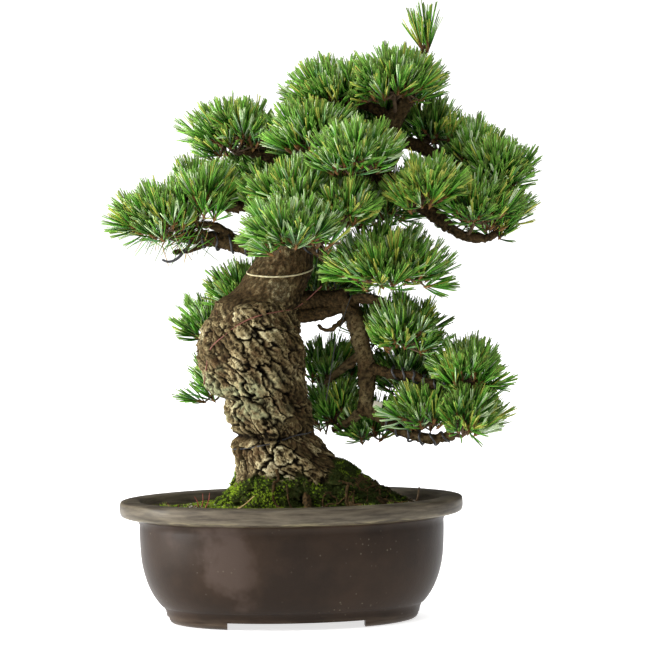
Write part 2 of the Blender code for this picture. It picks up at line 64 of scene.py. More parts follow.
def addCamera():
    camera = bpy.data.cameras.new("camera")
    camera.lens = cameraView["lens"]
    camera.sensor_width = 36.0
    holder = bpy.data.objects.new("camera", camera)
    bpy.context.scene.collection.objects.link(holder)
    place = potCentre + Vector(cameraView["place"])
    sight = potCentre + Vector(cameraView["target"]) - place
    turn = sight.to_track_quat("-Z", "Y").to_matrix().to_4x4()
    holder.matrix_world = Matrix.Translation(place) @ turn @ Matrix.Rotation(-cameraView["roll"], 4, "Z")
    bpy.context.scene.camera = holder


def asArray(vectors):
    return np.array([tuple(v) for v in vectors])


def unit(vectors):
    return vectors / np.maximum(np.linalg.norm(vectors, axis=-1, keepdims=True), 1e-9)


def smoothStep(low, high, value):
    share = np.clip((value - low) / (high - low), 0.0, 1.0)
    return share * share * (3.0 - 2.0 * share)


def finishPiece(name, bm, materials, sharpAngle=None):
    mesh = bpy.data.meshes.new(name)
    bm.to_mesh(mesh)
    bm.free()
    return finishMesh(name, mesh, materials, sharpAngle)


def finishMesh(name, mesh, materials, sharpAngle=None):
    piece = bpy.data.objects.new(name, mesh)
    bpy.context.scene.collection.objects.link(piece)
    mesh.transform(Matrix.Translation(potCentre))
    for material in materials:
        mesh.materials.append(material)
    if sharpAngle is not None:
        mesh.shade_smooth()
        mesh.set_sharp_from_angle(angle=math.radians(sharpAngle))
    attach(piece, "root")
    return piece


def meshFromArrays(name, points, corners, counts, materialIndex):
    mesh = bpy.data.meshes.new(name)
    mesh.vertices.add(len(points))
    mesh.vertices.foreach_set("co", np.ascontiguousarray(points, np.float32).ravel())
    mesh.loops.add(len(corners))
    mesh.loops.foreach_set("vertex_index", np.ascontiguousarray(corners, np.int32))
    mesh.polygons.add(len(counts))
    starts = np.concatenate([[0], np.cumsum(counts)[:-1]])
    mesh.polygons.foreach_set("loop_start", starts.astype(np.int32))
    mesh.polygons.foreach_set("material_index", np.ascontiguousarray(materialIndex, np.int32))
    mesh.update(calc_edges=True)
    mesh.validate()
    return mesh


def templateOf(bm):
    # Points and faces of a small bmesh, to be stamped many times.
    bm.verts.ensure_lookup_table()
    points = np.array([vert.co[:] for vert in bm.verts])
    faces = [[vert.index for vert in face.verts] for face in bm.faces]
    bm.free()
    return points, faces


def stampMany(name, template, turns, places, kinds):
    # One joined mesh of many copies: turns is (n, 3, 3), places (n, 3), kinds the material of each copy.
    points, faces = template
    copies = np.einsum("nij,kj->nki", turns, points) + places[:, None, :]
    corners = np.concatenate([np.array(face) for face in faces])
    counts = np.array([len(face) for face in faces])
    offsets = np.arange(len(places)) * len(points)
    allCorners = (offsets[:, None] + corners[None, :]).ravel()
    allCounts = np.tile(counts, len(places))
    return meshFromArrays(name, copies.reshape(-1, 3), allCorners, allCounts, np.repeat(kinds, len(faces)))


def turnsAlong(directions, rolls, sizes):
    # Matrices whose third column is the direction, for upright templates.
    side = np.cross(directions, np.array([0.31, 0.87, 0.38]))
    side = unit(side)
    other = np.cross(directions, side)
    first = side * np.cos(rolls)[:, None] + other * np.sin(rolls)[:, None]
    second = np.cross(directions, first)
    return np.stack([first, second, directions], axis=2) * sizes[:, None, None]


# Shared parts of the materials.

def addNode(tree, kind, inputs=None, **settings):
    node = tree.nodes.new(kind)
    for key, value in settings.items():
        setattr(node, key, value)
    for key, value in (inputs or {}).items():
        if isinstance(value, bpy.types.NodeSocket):
            tree.links.new(value, node.inputs[key])
        else:
            node.inputs[key].default_value = value
    return node


def mixColours(tree, factor, first, second):
    node = addNode(tree, "ShaderNodeMix", {0: factor, 6: first, 7: second}, data_type="RGBA")
    return node.outputs[2]


def times(tree, first, second):
    return addNode(tree, "ShaderNodeMath", {0: first, 1: second}, operation="MULTIPLY").outputs[0]


def fade(tree, value, low, high, top=1.0):
    return addNode(tree, "ShaderNodeMapRange", {
        "Value": value, "From Min": low, "From Max": high, "To Max": top,
    }).outputs["Result"]


def colour(red, green, blue):
    return (red, green, blue, 1.0)


def newGroup(name, inputs, outputs):
    group = bpy.data.node_groups.new(name, "ShaderNodeTree")
    for label, kind, value in inputs:
        socket = group.interface.new_socket(label, in_out="INPUT", socket_type=kind)
        if value is not None:
            socket.default_value = value
    for label, kind in outputs:
        group.interface.new_socket(label, in_out="OUTPUT", socket_type=kind)
    return group, group.nodes.new("NodeGroupInput"), group.nodes.new("NodeGroupOutput")


def makePatches():
    # Soft patches of a second colour over a first.
    group, given, made = newGroup("patches", (
        ("Vector", "NodeSocketVector", None),
        ("Scale", "NodeSocketFloat", 10.0),
        ("From", "NodeSocketFloat", 0.45),
        ("To", "NodeSocketFloat", 0.65),
        ("First", "NodeSocketColor", colour(0.1, 0.1, 0.1)),
        ("Second", "NodeSocketColor", colour(0.2, 0.2, 0.2)),
    ), (("Color", "NodeSocketColor"), ("Mask", "NodeSocketFloat")))
    clouds = addNode(group, "ShaderNodeTexNoise", {
        "Vector": given.outputs["Vector"], "Scale": given.outputs["Scale"], "Detail": 5.0, "Roughness": 0.6,
    })
    mask = addNode(group, "ShaderNodeMapRange", {
        "Value": clouds.outputs["Fac"], "From Min": given.outputs["From"], "From Max": given.outputs["To"],
    }).outputs["Result"]
    mixed = mixColours(group, mask, given.outputs["First"], given.outputs["Second"])
    group.links.new(mixed, made.inputs["Color"])
    group.links.new(mask, made.inputs["Mask"])
    return group


def makeGrain():
    # Height of a rough surface, from coarse lumps and fine grit.
    group, given, made = newGroup("grain", (
        ("Vector", "NodeSocketVector", None),
        ("Lumps", "NodeSocketFloat", 60.0),
        ("Grit", "NodeSocketFloat", 400.0),
        ("Grit share", "NodeSocketFloat", 0.4),
    ), (("Height", "NodeSocketFloat"),))
    lumps = addNode(group, "ShaderNodeTexNoise", {
        "Vector": given.outputs["Vector"], "Scale": given.outputs["Lumps"], "Detail": 3.0,
    })
    grit = addNode(group, "ShaderNodeTexNoise", {
        "Vector": given.outputs["Vector"], "Scale": given.outputs["Grit"], "Detail": 2.0,
    })
    mixed = addNode(group, "ShaderNodeMix", {
        0: given.outputs["Grit share"], 2: lumps.outputs["Fac"], 3: grit.outputs["Fac"],
    }, data_type="FLOAT")
    group.links.new(mixed.outputs[0], made.inputs["Height"])
    return group


def makeFlecks():
    # Small scattered spots.
    group, given, made = newGroup("flecks", (
        ("Vector", "NodeSocketVector", None),
        ("Scale", "NodeSocketFloat", 120.0),
        ("Size", "NodeSocketFloat", 0.12),
    ), (("Mask", "NodeSocketFloat"),))
    cells = addNode(group, "ShaderNodeTexVoronoi", {
        "Vector": given.outputs["Vector"], "Scale": given.outputs["Scale"],
    })
    spot = addNode(group, "ShaderNodeMath", {
        0: given.outputs["Size"], 1: cells.outputs["Distance"],
    }, operation="GREATER_THAN").outputs[0]
    some = addNode(group, "ShaderNodeTexNoise", {
        "Vector": given.outputs["Vector"], "Scale": 25.0,
    }).outputs["Fac"]
    group.links.new(times(group, spot, fade(group, some, 0.5, 0.6)), made.inputs["Mask"])
    return group


patches = makePatches()
grain = makeGrain()
flecks = makeFlecks()


def startMaterial(name):
    material = bpy.data.materials.new(name)
    material.use_nodes = True
    tree = material.node_tree
    shader = tree.nodes["Principled BSDF"]
    place = addNode(tree, "ShaderNodeTexCoord").outputs["Object"]
    return material, tree, shader, place


def useGroup(tree, group, inputs):
    return addNode(tree, "ShaderNodeGroup", inputs, node_tree=group)


def patchMask(tree, place, scale, low, high):
    return useGroup(tree, patches, {
        "Vector": place, "Scale": scale, "From": low, "To": high,
    }).outputs["Mask"]


def addRelief(tree, shader, height, strength, distance):
    bump = addNode(tree, "ShaderNodeBump", {"Strength": strength, "Distance": distance, "Height": height})
    tree.links.new(bump.outputs["Normal"], shader.inputs["Normal"])


def fromPoints(tree, name):
    return addNode(tree, "ShaderNodeAttribute", attribute_name=name).outputs["Fac"]


clayFinish = {
    "dark": colour(0.0150, 0.0082, 0.0042),
    "warm": colour(0.0260, 0.0145, 0.0078),
    "haze": colour(0.070, 0.050, 0.041),
    "grey": colour(0.048, 0.039, 0.028),
    "lime": colour(0.128, 0.108, 0.076),
    "yellow": colour(0.250, 0.215, 0.125),
    "scuff": colour(0.150, 0.110, 0.075),
    "rimFrom": 0.1030,
    "rimTo": 0.1062,
    "rimLow": 0.1092,
    "scuffBelow": 0.012,
    "hazeFrom": -0.085,
    "hazeTo": -0.055,
}


def makeClay():
    material, tree, shader, place = startMaterial("unglazedClay")
    look = clayFinish
    base = useGroup(tree, patches, {
        "Vector": place, "Scale": 14.0, "From": 0.42, "To": 0.62,
        "First": look["dark"], "Second": look["warm"],
    }).outputs["Color"]
    across, _, height = addNode(tree, "ShaderNodeSeparateXYZ", {0: place}).outputs
    haze = patchMask(tree, place, 7.0, 0.50, 0.56)
    haze = times(tree, haze, fade(tree, across, look["hazeTo"], look["hazeFrom"]))
    base = mixColours(tree, times(tree, haze, 0.50), base, look["haze"])
    spots = useGroup(tree, flecks, {"Vector": place, "Scale": 150.0, "Size": 0.13}).outputs["Mask"]
    base = mixColours(tree, times(tree, spots, 0.5), base, look["lime"])
    # The rim is greyed by limescale, in level streaks that turn yellow along its lower edge.
    stretched = addNode(tree, "ShaderNodeMapping", {"Vector": place, "Scale": (1.0, 1.0, 9.0)})
    level = stretched.outputs["Vector"]
    streaks = useGroup(tree, patches, {
        "Vector": level, "Scale": 30.0, "From": 0.36, "To": 0.68,
        "First": look["grey"], "Second": look["lime"],
    })
    rim = fade(tree, height, look["rimFrom"], look["rimTo"])
    base = mixColours(tree, times(tree, rim, 0.92), base, streaks.outputs["Color"])
    crust = patchMask(tree, level, 55.0, 0.44, 0.60)
    lowRim = times(tree, times(tree, fade(tree, height, look["rimLow"], look["rimTo"]), rim), crust)
    base = mixColours(tree, times(tree, lowRim, 0.75), base, look["yellow"])
    low = times(tree, fade(tree, height, look["scuffBelow"], 0.002), streaks.outputs["Mask"])
    base = mixColours(tree, times(tree, low, 0.6), base, look["scuff"])
    tree.links.new(base, shader.inputs["Base Color"])
    rough = addNode(tree, "ShaderNodeMapRange", {"Value": haze, "To Min": 0.40, "To Max": 0.58})
    tree.links.new(rough.outputs["Result"], shader.inputs["Roughness"])
    shader.inputs["Specular IOR Level"].default_value = 0.13
    relief = useGroup(tree, grain, {"Vector": place, "Lumps": 70.0, "Grit": 700.0, "Grit share": 0.35})
    addRelief(tree, shader, relief.outputs["Height"], 0.35, 0.0008)
    return material


def makePlain(name, first, second, scale, roughness, relief=0.3, depth=0.0005, gloss=0.15):
    # A two-tone material with fine grain.
    material, tree, shader, place = startMaterial(name)
    tones = useGroup(tree, patches, {
        "Vector": place, "Scale": scale, "From": 0.38, "To": 0.64,
        "First": colour(*first), "Second": colour(*second),
    })
    tree.links.new(tones.outputs["Color"], shader.inputs["Base Color"])
    shader.inputs["Roughness"].default_value = roughness
    shader.inputs["Specular IOR Level"].default_value = gloss
    height = useGroup(tree, grain, {"Vector": place, "Lumps": scale * 2.0, "Grit": 600.0})
    addRelief(tree, shader, height.outputs["Height"], relief, depth)
    return material


barkFinish = {
    # The first colour is near-black painted shade for the bark's fissures, hollows and creases.
    "shadedFissure": colour(0.0045, 0.0030, 0.0012),
    "russet": colour(0.090, 0.045, 0.020),
    "brown": colour(0.036, 0.025, 0.0105),
    "tan": colour(0.122, 0.088, 0.040),
    "beige": colour(0.310, 0.250, 0.128),
    "pale": colour(0.560, 0.500, 0.300),
    "youngDark": colour(0.022, 0.0155, 0.0065),
    "young": colour(0.064, 0.038, 0.015),
    "lichen": colour(0.330, 0.360, 0.200),
    "moss": colour(0.016, 0.022, 0.003),
}


def makeBark():
    # Reads the painted shade of hollows, fissures and creases, the tone with its painted highlight on raised
    # edges, age, mossy and lichen from the mesh, whose plates and fissures are real relief.
    material, tree, shader, place = startMaterial("pineBark")
    look = barkFinish
    plates = addNode(tree, "ShaderNodeValToRGB", {"Fac": fromPoints(tree, "tone")})
    ramp = plates.color_ramp
    ramp.elements[0].color = look["brown"]
    ramp.elements[1].color = look["pale"]
    ramp.elements.new(0.35).color = look["tan"]
    ramp.elements.new(0.70).color = look["beige"]
    old = useGroup(tree, patches, {
        "Vector": place, "Scale": 170.0, "From": 0.46, "To": 0.78,
        "First": plates.outputs["Color"], "Second": look["brown"],
    }).outputs["Color"]
    old = useGroup(tree, patches, {
        "Vector": place, "Scale": 640.0, "From": 0.37, "To": 0.47, "First": look["brown"], "Second": old,
    }).outputs["Color"]
    russet = patchMask(tree, place, 75.0, 0.50, 0.66)
    old = mixColours(tree, times(tree, russet, 0.55), old, look["russet"])
    lichen = patchMask(tree, place, 140.0, 0.38, 0.60)
    lichen = times(tree, times(tree, lichen, fromPoints(tree, "lichen")), 0.75)
    old = mixColours(tree, lichen, old, look["lichen"])
    young = useGroup(tree, patches, {
        "Vector": place, "Scale": 480.0, "From": 0.43, "To": 0.57,
        "First": look["youngDark"], "Second": look["young"],
    }).outputs["Color"]
    coat = mixColours(tree, fromPoints(tree, "age"), young, old)
    # Painted shade darkens the fissures, hollows and creases.
    coat = mixColours(tree, fromPoints(tree, "paintedShade"), coat, look["shadedFissure"])
    coat = mixColours(tree, fromPoints(tree, "mossy"), coat, look["moss"])
    tree.links.new(coat, shader.inputs["Base Color"])
    shader.inputs["Roughness"].default_value = 0.85
    shader.inputs["Specular IOR Level"].default_value = 0.06
    height = useGroup(tree, grain, {"Vector": place, "Lumps": 420.0, "Grit": 1500.0, "Grit share": 0.5})
    addRelief(tree, shader, height.outputs["Height"], 0.8, 0.0010)
    return material


needleColours = {
    "fresh": (colour(0.058, 0.225, 0.016), colour(0.140, 0.390, 0.042)),
    # Deep is a darker green that the needles have, also dealt out as painted shade.
    "deep": (colour(0.010, 0.045, 0.003), colour(0.034, 0.110, 0.012)),
    "blue": (colour(0.080, 0.225, 0.070), colour(0.170, 0.370, 0.145)),
    "yellow": (colour(0.300, 0.330, 0.035), colour(0.480, 0.470, 0.095)),
    "pale": (colour(0.380, 0.510, 0.280), colour(0.600, 0.720, 0.480)),
    "dry": (colour(0.220, 0.105, 0.030), colour(0.380, 0.220, 0.080)),
}
needleOrder = ("fresh", "deep", "blue", "yellow", "pale", "dry")

# Colours of the three sides of a needle of each kind; the darker second side is painted shade.
needleSides = {
    "fresh": ("fresh", "deep", "fresh"),
    "deep": ("deep", "deep", "fresh"),
    "blue": ("blue", "deep", "pale"),
    "yellow": ("yellow", "fresh", "yellow"),
    "pale": ("pale", "blue", "pale"),
    "dry": ("dry", "dry", "dry"),
}
needleEnds = {
    "sheath": colour(0.225, 0.105, 0.026),
    "tip": colour(0.400, 0.460, 0.110),
    "tipShare": 0.26,
}


def makeNeedleMaterial(name):
    # Each needle turns brown towards its sheath and paler towards its tip, read from its own "along" value.
    material, tree, shader, place = startMaterial(name + "Needle")
    first, second = needleColours[name]
    tones = useGroup(tree, patches, {
        "Vector": place, "Scale": 28.0, "From": 0.35, "To": 0.65, "First": first, "Second": second,
    }).outputs["Color"]
    along = fromPoints(tree, "along")
    tip = times(tree, fade(tree, along, 0.62, 1.0), needleEnds["tipShare"])
    tones = mixColours(tree, tip, tones, needleEnds["tip"])
    sheath = fade(tree, along, 0.24, 0.04)
    tree.links.new(mixColours(tree, sheath, tones, needleEnds["sheath"]), shader.inputs["Base Color"])
    shader.inputs["Roughness"].default_value = 0.45
    shader.inputs["Specular IOR Level"].default_value = 0.12
    return material


print("materials")

clay = makeClay()
bark = makeBark()
needleMaterials = [makeNeedleMaterial(name) for name in needleOrder]
# Each plain finish: first and second colour, size of its patches, roughness, then its relief if it has more.
plainFinishes = {
    "dampSoil": ((0.018, 0.012, 0.007), (0.060, 0.042, 0.024), 120.0, 0.95, 0.8, 0.002),
    "darkCrumb": ((0.022, 0.015, 0.009), (0.050, 0.034, 0.020), 90.0, 0.95),
    "tanCrumb": ((0.120, 0.080, 0.042), (0.200, 0.145, 0.080), 90.0, 0.9),
    "paleCrumb": ((0.230, 0.210, 0.160), (0.360, 0.330, 0.260), 90.0, 0.9),
    "brightMoss": ((0.110, 0.190, 0.005), (0.230, 0.330, 0.016), 60.0, 0.8),
    "midMoss": ((0.042, 0.080, 0.003), (0.092, 0.140, 0.008), 60.0, 0.8),
    "darkMoss": ((0.010, 0.018, 0.002), (0.030, 0.044, 0.006), 60.0, 0.85),
    "yellowMoss": ((0.170, 0.200, 0.030), (0.300, 0.310, 0.110), 60.0, 0.8),
    "brownBuds": ((0.105, 0.048, 0.017), (0.220, 0.110, 0.038), 150.0, 0.7),
    "twigBark": ((0.050, 0.032, 0.019), (0.130, 0.088, 0.050), 180.0, 0.85, 0.6, 0.0008),
    "raffia": ((0.42, 0.36, 0.20), (0.62, 0.56, 0.36), 300.0, 0.6),
    "blackWire": ((0.010, 0.010, 0.011), (0.030, 0.030, 0.032), 200.0, 0.38, 0.1, 0.0005, 0.5),
    "rustyWire": ((0.110, 0.030, 0.018), (0.190, 0.065, 0.040), 200.0, 0.5, 0.1, 0.0005, 0.4),
    "straw": ((0.38, 0.24, 0.10), (0.55, 0.38, 0.18), 200.0, 0.7),
    "redSprout": ((0.22, 0.040, 0.030), (0.36, 0.110, 0.080), 200.0, 0.6),
    "paleTag": ((0.46, 0.42, 0.34), (0.60, 0.56, 0.46), 80.0, 0.6),
}
finish = {name: makePlain(name, *values) for name, values in plainFinishes.items()}


# The pot: rings of an oval, each (distance in from the lip's outer edge, height).

pot = {
    "halfLength": 0.170,
    "halfDepth": 0.1325,
    "turn": math.radians(3.0),
    "sides": 120,
    "footHeight": 0.0075,
    "frontGap": 0.134,
    "endGap": 0.032,
    "outside": (
        (0.066, 0.0), (0.046, 0.0), (0.0435, 0.0155), (0.0385, 0.018), (0.028, 0.034), (0.0205, 0.058),
        (0.019, 0.090), (0.0195, 0.103), (0.004, 0.1055), (0.0, 0.1085), (0.0, 0.1195), (0.0025, 0.122),
        (0.018, 0.122), (0.0205, 0.1205), (0.0285, 0.106), (0.030, 0.080),
    ),
    "floor": (0.052, 0.019),
    "cornerCuts": 2,
    "edge": 0.0009,
}


def roundCorners(profile, cuts):
    # Cuts each corner of the profile at a quarter of its sides, keeping both ends.
    for _ in range(cuts):
        rounded = [profile[0]]
        for (a, b), (c, d) in zip(profile, profile[1:]):
            rounded.append((0.75 * a + 0.25 * c, 0.75 * b + 0.25 * d))
            rounded.append((0.25 * a + 0.75 * c, 0.25 * b + 0.75 * d))
        rounded.append(profile[-1])
        profile = rounded
    return profile


def ovalPoint(angle, inset, height):
    across = (pot["halfLength"] - inset) * math.cos(angle)
    deep = (pot["halfDepth"] - inset) * math.sin(angle)
    c, s = math.cos(pot["turn"]), math.sin(pot["turn"])
    return Vector((across * c - deep * s, across * s + deep * c, height))


def raiseOvals(bm, profile):
    # Extrudes a circle from ring to ring of the profile, closed at both ends.
    sides = pot["sides"]
    ring = bmesh.ops.create_circle(bm, cap_ends=True, segments=sides, radius=1.0)["verts"]
    angles = {vert: math.atan2(vert.co.y, vert.co.x) for vert in ring}
    for vert, angle in angles.items():
        vert.co = ovalPoint(angle, *profile[0])
    edges = list({edge for vert in ring for edge in vert.link_edges})
    for inset, height in profile[1:]:
        before = {tuple(round(x, 7) for x in vert.co): angle for vert, angle in angles.items()}
        made = bmesh.ops.extrude_edge_only(bm, edges=edges)["geom"]
        ring = [item for item in made if isinstance(item, bmesh.types.BMVert)]
        edges = [item for item in made if isinstance(item, bmesh.types.BMEdge)]
        fresh = set(ring)
        edges = [edge for edge in edges if edge.verts[0] in fresh and edge.verts[1] in fresh]
        angles = {vert: before[tuple(round(x, 7) for x in vert.co)] for vert in ring}
        for vert, angle in angles.items():
            vert.co = ovalPoint(angle, inset, height)
    bmesh.ops.contextual_create(bm, geom=edges)
    bmesh.ops.recalc_face_normals(bm, faces=bm.faces)


def cutBy(piece, size, turn):
    bm = bmesh.new()
    bmesh.ops.create_cube(bm, size=1.0, matrix=Matrix.LocRotScale(potCentre, turn, size))
    mesh = bpy.data.meshes.new("footGap")
    bm.to_mesh(mesh)
    bm.free()
    gap = bpy.data.objects.new("footGap", mesh)
    bpy.context.scene.collection.objects.link(gap)
    modifier = piece.modifiers.new("footGap", "BOOLEAN")
    modifier.operation = "DIFFERENCE"
    modifier.solver = "EXACT"
    modifier.object = gap
    applyModifiers(piece)
    bpy.data.objects.remove(gap, do_unlink=True)


def applyModifiers(piece):
    bpy.context.view_layer.update()
    mesh = bpy.data.meshes.new_from_object(piece.evaluated_get(bpy.context.evaluated_depsgraph_get()))
    piece.modifiers.clear()
    piece.data = mesh


def buildPot():
    bm = bmesh.new()
    profile = roundCorners(pot["outside"], pot["cornerCuts"])
    raiseOvals(bm, [(0.066, pot["footHeight"]), *profile, pot["floor"]])
    piece = finishPiece("potBody", bm, [clay])
    turn = Matrix.Rotation(pot["turn"], 3, "Z").to_quaternion()
    wide = 0.6
    cutBy(piece, Vector((pot["frontGap"], wide, 2 * pot["footHeight"])), turn)
    cutBy(piece, Vector((wide, pot["endGap"], 2 * pot["footHeight"])), turn)
    edges = piece.modifiers.new("edges", "BEVEL")
    edges.width = pot["edge"]
    edges.segments = 2
    edges.limit_method = "ANGLE"
    edges.angle_limit = math.radians(50.0)
    applyModifiers(piece)
    piece.data.shade_smooth()
    piece.data.set_sharp_from_angle(angle=math.radians(42.0))
    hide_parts("pot")
    return piece


buildPot()
print("pot")


# The trunk: (x, y, height, radius, extra half width) up its leaning centre line.

trunk = {
    "rows": (
        (0.016, 0.000, 0.1121, 0.074, 0.018), (0.014, 0.000, 0.126, 0.066, 0.010),
        (0.011, 0.000, 0.139, 0.058, 0.006), (-0.002, 0.000, 0.159, 0.047, 0.003),
        (-0.009, 0.000, 0.169, 0.0415, 0.003), (-0.0115, 0.000, 0.1775, 0.0385, 0.002),
        (-0.0125, 0.000, 0.184, 0.0355, 0.001), (-0.0145, 0.000, 0.190, 0.0385, 0.001),
        (-0.019, 0.000, 0.201, 0.0415, 0.000), (-0.020, 0.000, 0.212, 0.0415, 0.000),
        (-0.0205, 0.000, 0.2185, 0.0395, 0.000), (-0.028, 0.000, 0.2255, 0.0455, 0.000),
        (-0.034, 0.000, 0.239, 0.048, 0.000), (-0.037, 0.000, 0.255, 0.052, 0.000),
        (-0.037, 0.000, 0.270, 0.052, 0.000), (-0.036, 0.000, 0.287, 0.048, 0.000),
        (-0.0345, 0.000, 0.300, 0.0435, 0.000), (-0.0325, 0.000, 0.3095, 0.0405, 0.000),
        (-0.0245, 0.002, 0.3165, 0.0365, 0.000), (-0.013, 0.003, 0.334, 0.031, 0.000),
        (-0.004, 0.005, 0.350, 0.029, 0.000), (0.001, 0.005, 0.377, 0.026, 0.000),
        (0.016, 0.006, 0.401, 0.023, 0.000), (0.044, 0.008, 0.425, 0.020, 0.000),
        (0.074, 0.008, 0.449, 0.016, 0.000), (0.096, 0.005, 0.474, 0.012, 0.000),
        (0.110, 0.002, 0.497, 0.009, 0.000), (0.121, 0.000, 0.513, 0.007, 0.000),
        (0.129, -0.002, 0.530, 0.005, 0.000), (0.135, -0.002, 0.550, 0.0035, 0.000),
        (0.138, 0.000, 0.562, 0.0022, 0.000),
    ),
    "roots": ((0.0, 0.10), (45.0, 0.07), (112.0, 0.09), (180.0, 0.05), (225.0, 0.08), (315.0, 0.12)),
    "rootWidth": 20.0,
    "rootFoot": 0.118,
    "rootTop": 0.172,
    "lump": 0.0050,
    "lumpSpacing": 0.024,
    "lumpsFade": 0.300,
    "lumpsEnd": 0.322,
    "levelBelow": 0.290,
    "squareAbove": 0.400,
}


def trunkReach(row, angle):
    # How far the skin stands from the centre line, with the roots swelling the foot.
    foot = min(max((trunk["rootTop"] - row[2]) / (trunk["rootTop"] - trunk["rootFoot"]), 0.0), 1.0)
    swell = 0.0
    for bearing, share in trunk["roots"]:
        off = (math.degrees(angle) - bearing + 180.0) % 360.0 - 180.0
        swell += share * math.exp(-(off / trunk["rootWidth"]) ** 2)
    return (row[3] + row[4] * math.cos(2.0 * angle)) * (1.0 + foot * swell)


def lumpAt(place):
    fade = (trunk["lumpsEnd"] - place[2]) / (trunk["lumpsEnd"] - trunk["lumpsFade"])
    return trunk["lump"] * min(max(fade, 0.0), 1.0) * noise.noise(Vector(place) / trunk["lumpSpacing"])


# Soil: the filling of the pot, with an uneven top that climbs towards the trunk.

soil = {
    "walls": ((0.0524, 0.0194), (0.0344, 0.050), (0.0304, 0.080), (0.0289, 0.1055), (0.0276, 0.1085)),
    "edgeHeight": 0.1093,
    "bankHeight": 0.1160,
    "hummock": 0.0022,
    "hummockSpacing": 0.021,
    "halfLength": 0.142,
    "halfDepth": 0.105,
    "rings": 60,
    "lumps": 0.0011,
}


def soilHeight(x, y):
    # Rises from the rim to the trunk's foot, in hummocks.
    footX = trunk["rows"][0][0]
    bearing = math.atan2(y, x - footX)
    reach = trunkReach(trunk["rows"][0], bearing) + 0.004
    out = math.hypot(x / soil["halfLength"], y / soil["halfDepth"])
    foot = math.hypot((footX + reach * math.cos(bearing)) / soil["halfLength"],
                      reach * math.sin(bearing) / soil["halfDepth"])
    share = min(max((1.0 - out) / (1.0 - foot), 0.0), 1.0)
    height = soil["edgeHeight"] + (soil["bankHeight"] - soil["edgeHeight"]) * share
    place = Vector((x, y, trunk["rows"][0][2]))
    height += soil["hummock"] * share * noise.noise(place / soil["hummockSpacing"])
    inside = 1.0 - min(out, 1.0) ** 8
    return height + soil["lumps"] * inside * noise.fractal(place * 60.0, 0.7, 2.1, 4)


def buildSoil():
    bm = bmesh.new()
    rings = [(soil["walls"][-1][0] + 0.0008, soil["edgeHeight"])]
    innermost = pot["halfDepth"] - 0.004
    for i in range(1, soil["rings"]):
        inset = rings[0][0] + (innermost - rings[0][0]) * i / (soil["rings"] - 1)
        rings.append((inset, soil["edgeHeight"]))
    raiseOvals(bm, [*soil["walls"], *rings])
    for vert in bm.verts:
        if vert.co.z >= soil["edgeHeight"] - 1e-5:
            vert.co.z = soilHeight(vert.co.x, vert.co.y)
    piece = finishPiece("soilBody", bm, [finish["dampSoil"]], 60.0)
    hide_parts("soil")
    return piece


soilPiece = buildSoil()
print("soil")


def smoothRows(rows, places=None, step=None):
    # A smooth curve through the rows, at even steps or at the given lengths along it.
    knots = np.array(rows, float)
    gaps = np.linalg.norm(np.diff(knots[:, :3], axis=0), axis=1)
    lengths = np.concatenate([[0.0], np.cumsum(gaps)])
    if places is None:
        places = np.linspace(0.0, lengths[-1], max(int(lengths[-1] / step), 2) + 1)
    if len(knots) > 2:
        slopes = np.gradient(knots, lengths, axis=0)
    else:
        slopes = np.repeat((knots[1:] - knots[:1]) / lengths[-1], 2, axis=0)
    i = np.clip(np.searchsorted(lengths, places, side="right") - 1, 0, len(knots) - 2)
    gap = (lengths[i + 1] - lengths[i])[:, None]
    t = ((places - lengths[i]) / gap[:, 0])[:, None]
    return (
        (2 * t**3 - 3 * t**2 + 1) * knots[i]
        + (t**3 - 2 * t**2 + t) * gap * slopes[i]
        + (3 * t**2 - 2 * t**3) * knots[i + 1]
        + (t**3 - t**2) * gap * slopes[i + 1]
    )


def ringFrames(centres, upright=None):
    # Two directions across each ring of a tube, turned as little as possible from ring to ring.
    along = unit(np.gradient(centres, axis=0))
    if upright is not None:
        along = unit(along * upright[:, None] + np.array([0.0, 0.0, 1.0]) * (1.0 - upright[:, None]))
    sides = np.zeros_like(along)
    hint = np.array([1.0, 0.0, 0.0]) if abs(along[0][0]) < 0.9 else np.array([0.0, 0.0, 1.0])
    for i, way in enumerate(along):
        side = hint - way * hint.dot(way)
        sides[i] = side / np.linalg.norm(side)
        hint = sides[i]
    return along, sides, np.cross(along, sides)


def ringWays(side, depth, angles):
    # The way out of each ring's middle at these angles.
    return side[:, None] * np.cos(angles)[None, :, None] + depth[:, None] * np.sin(angles)[None, :, None]


def roundTable(centres, radius, sides):
    # Rings of a round tube, and the way out at each of their points.
    _, side, depth = ringFrames(centres)
    outward = ringWays(side, depth, 2.0 * math.pi * np.arange(sides) / sides)
    return centres[:, None] + outward * radius[:, None, None], outward


def wrapTube(bm, table, values=None):
    # A flat grid rolled up into a tube. Its points carry the values.
    rings, sides = table.shape[:2]
    layers = {}
    for name in values or {}:
        layers[name] = bm.verts.layers.float.get(name) or bm.verts.layers.float.new(name)
    made = bmesh.ops.create_grid(bm, x_segments=sides, y_segments=rings - 1, size=1.0)["verts"]
    for vert in made:
        k = round((vert.co.x + 1.0) / 2.0 * sides) % sides
        i = round((vert.co.y + 1.0) / 2.0 * (rings - 1))
        vert.co = table[i, k]
        for name, layer in layers.items():
            vert[layer] = values[name][i, k]
    bmesh.ops.remove_doubles(bm, verts=made, dist=1e-7)
    rim = [edge for edge in {e for v in made if v.is_valid for e in v.link_edges} if edge.is_boundary]
    bmesh.ops.holes_fill(bm, edges=rim, sides=0)


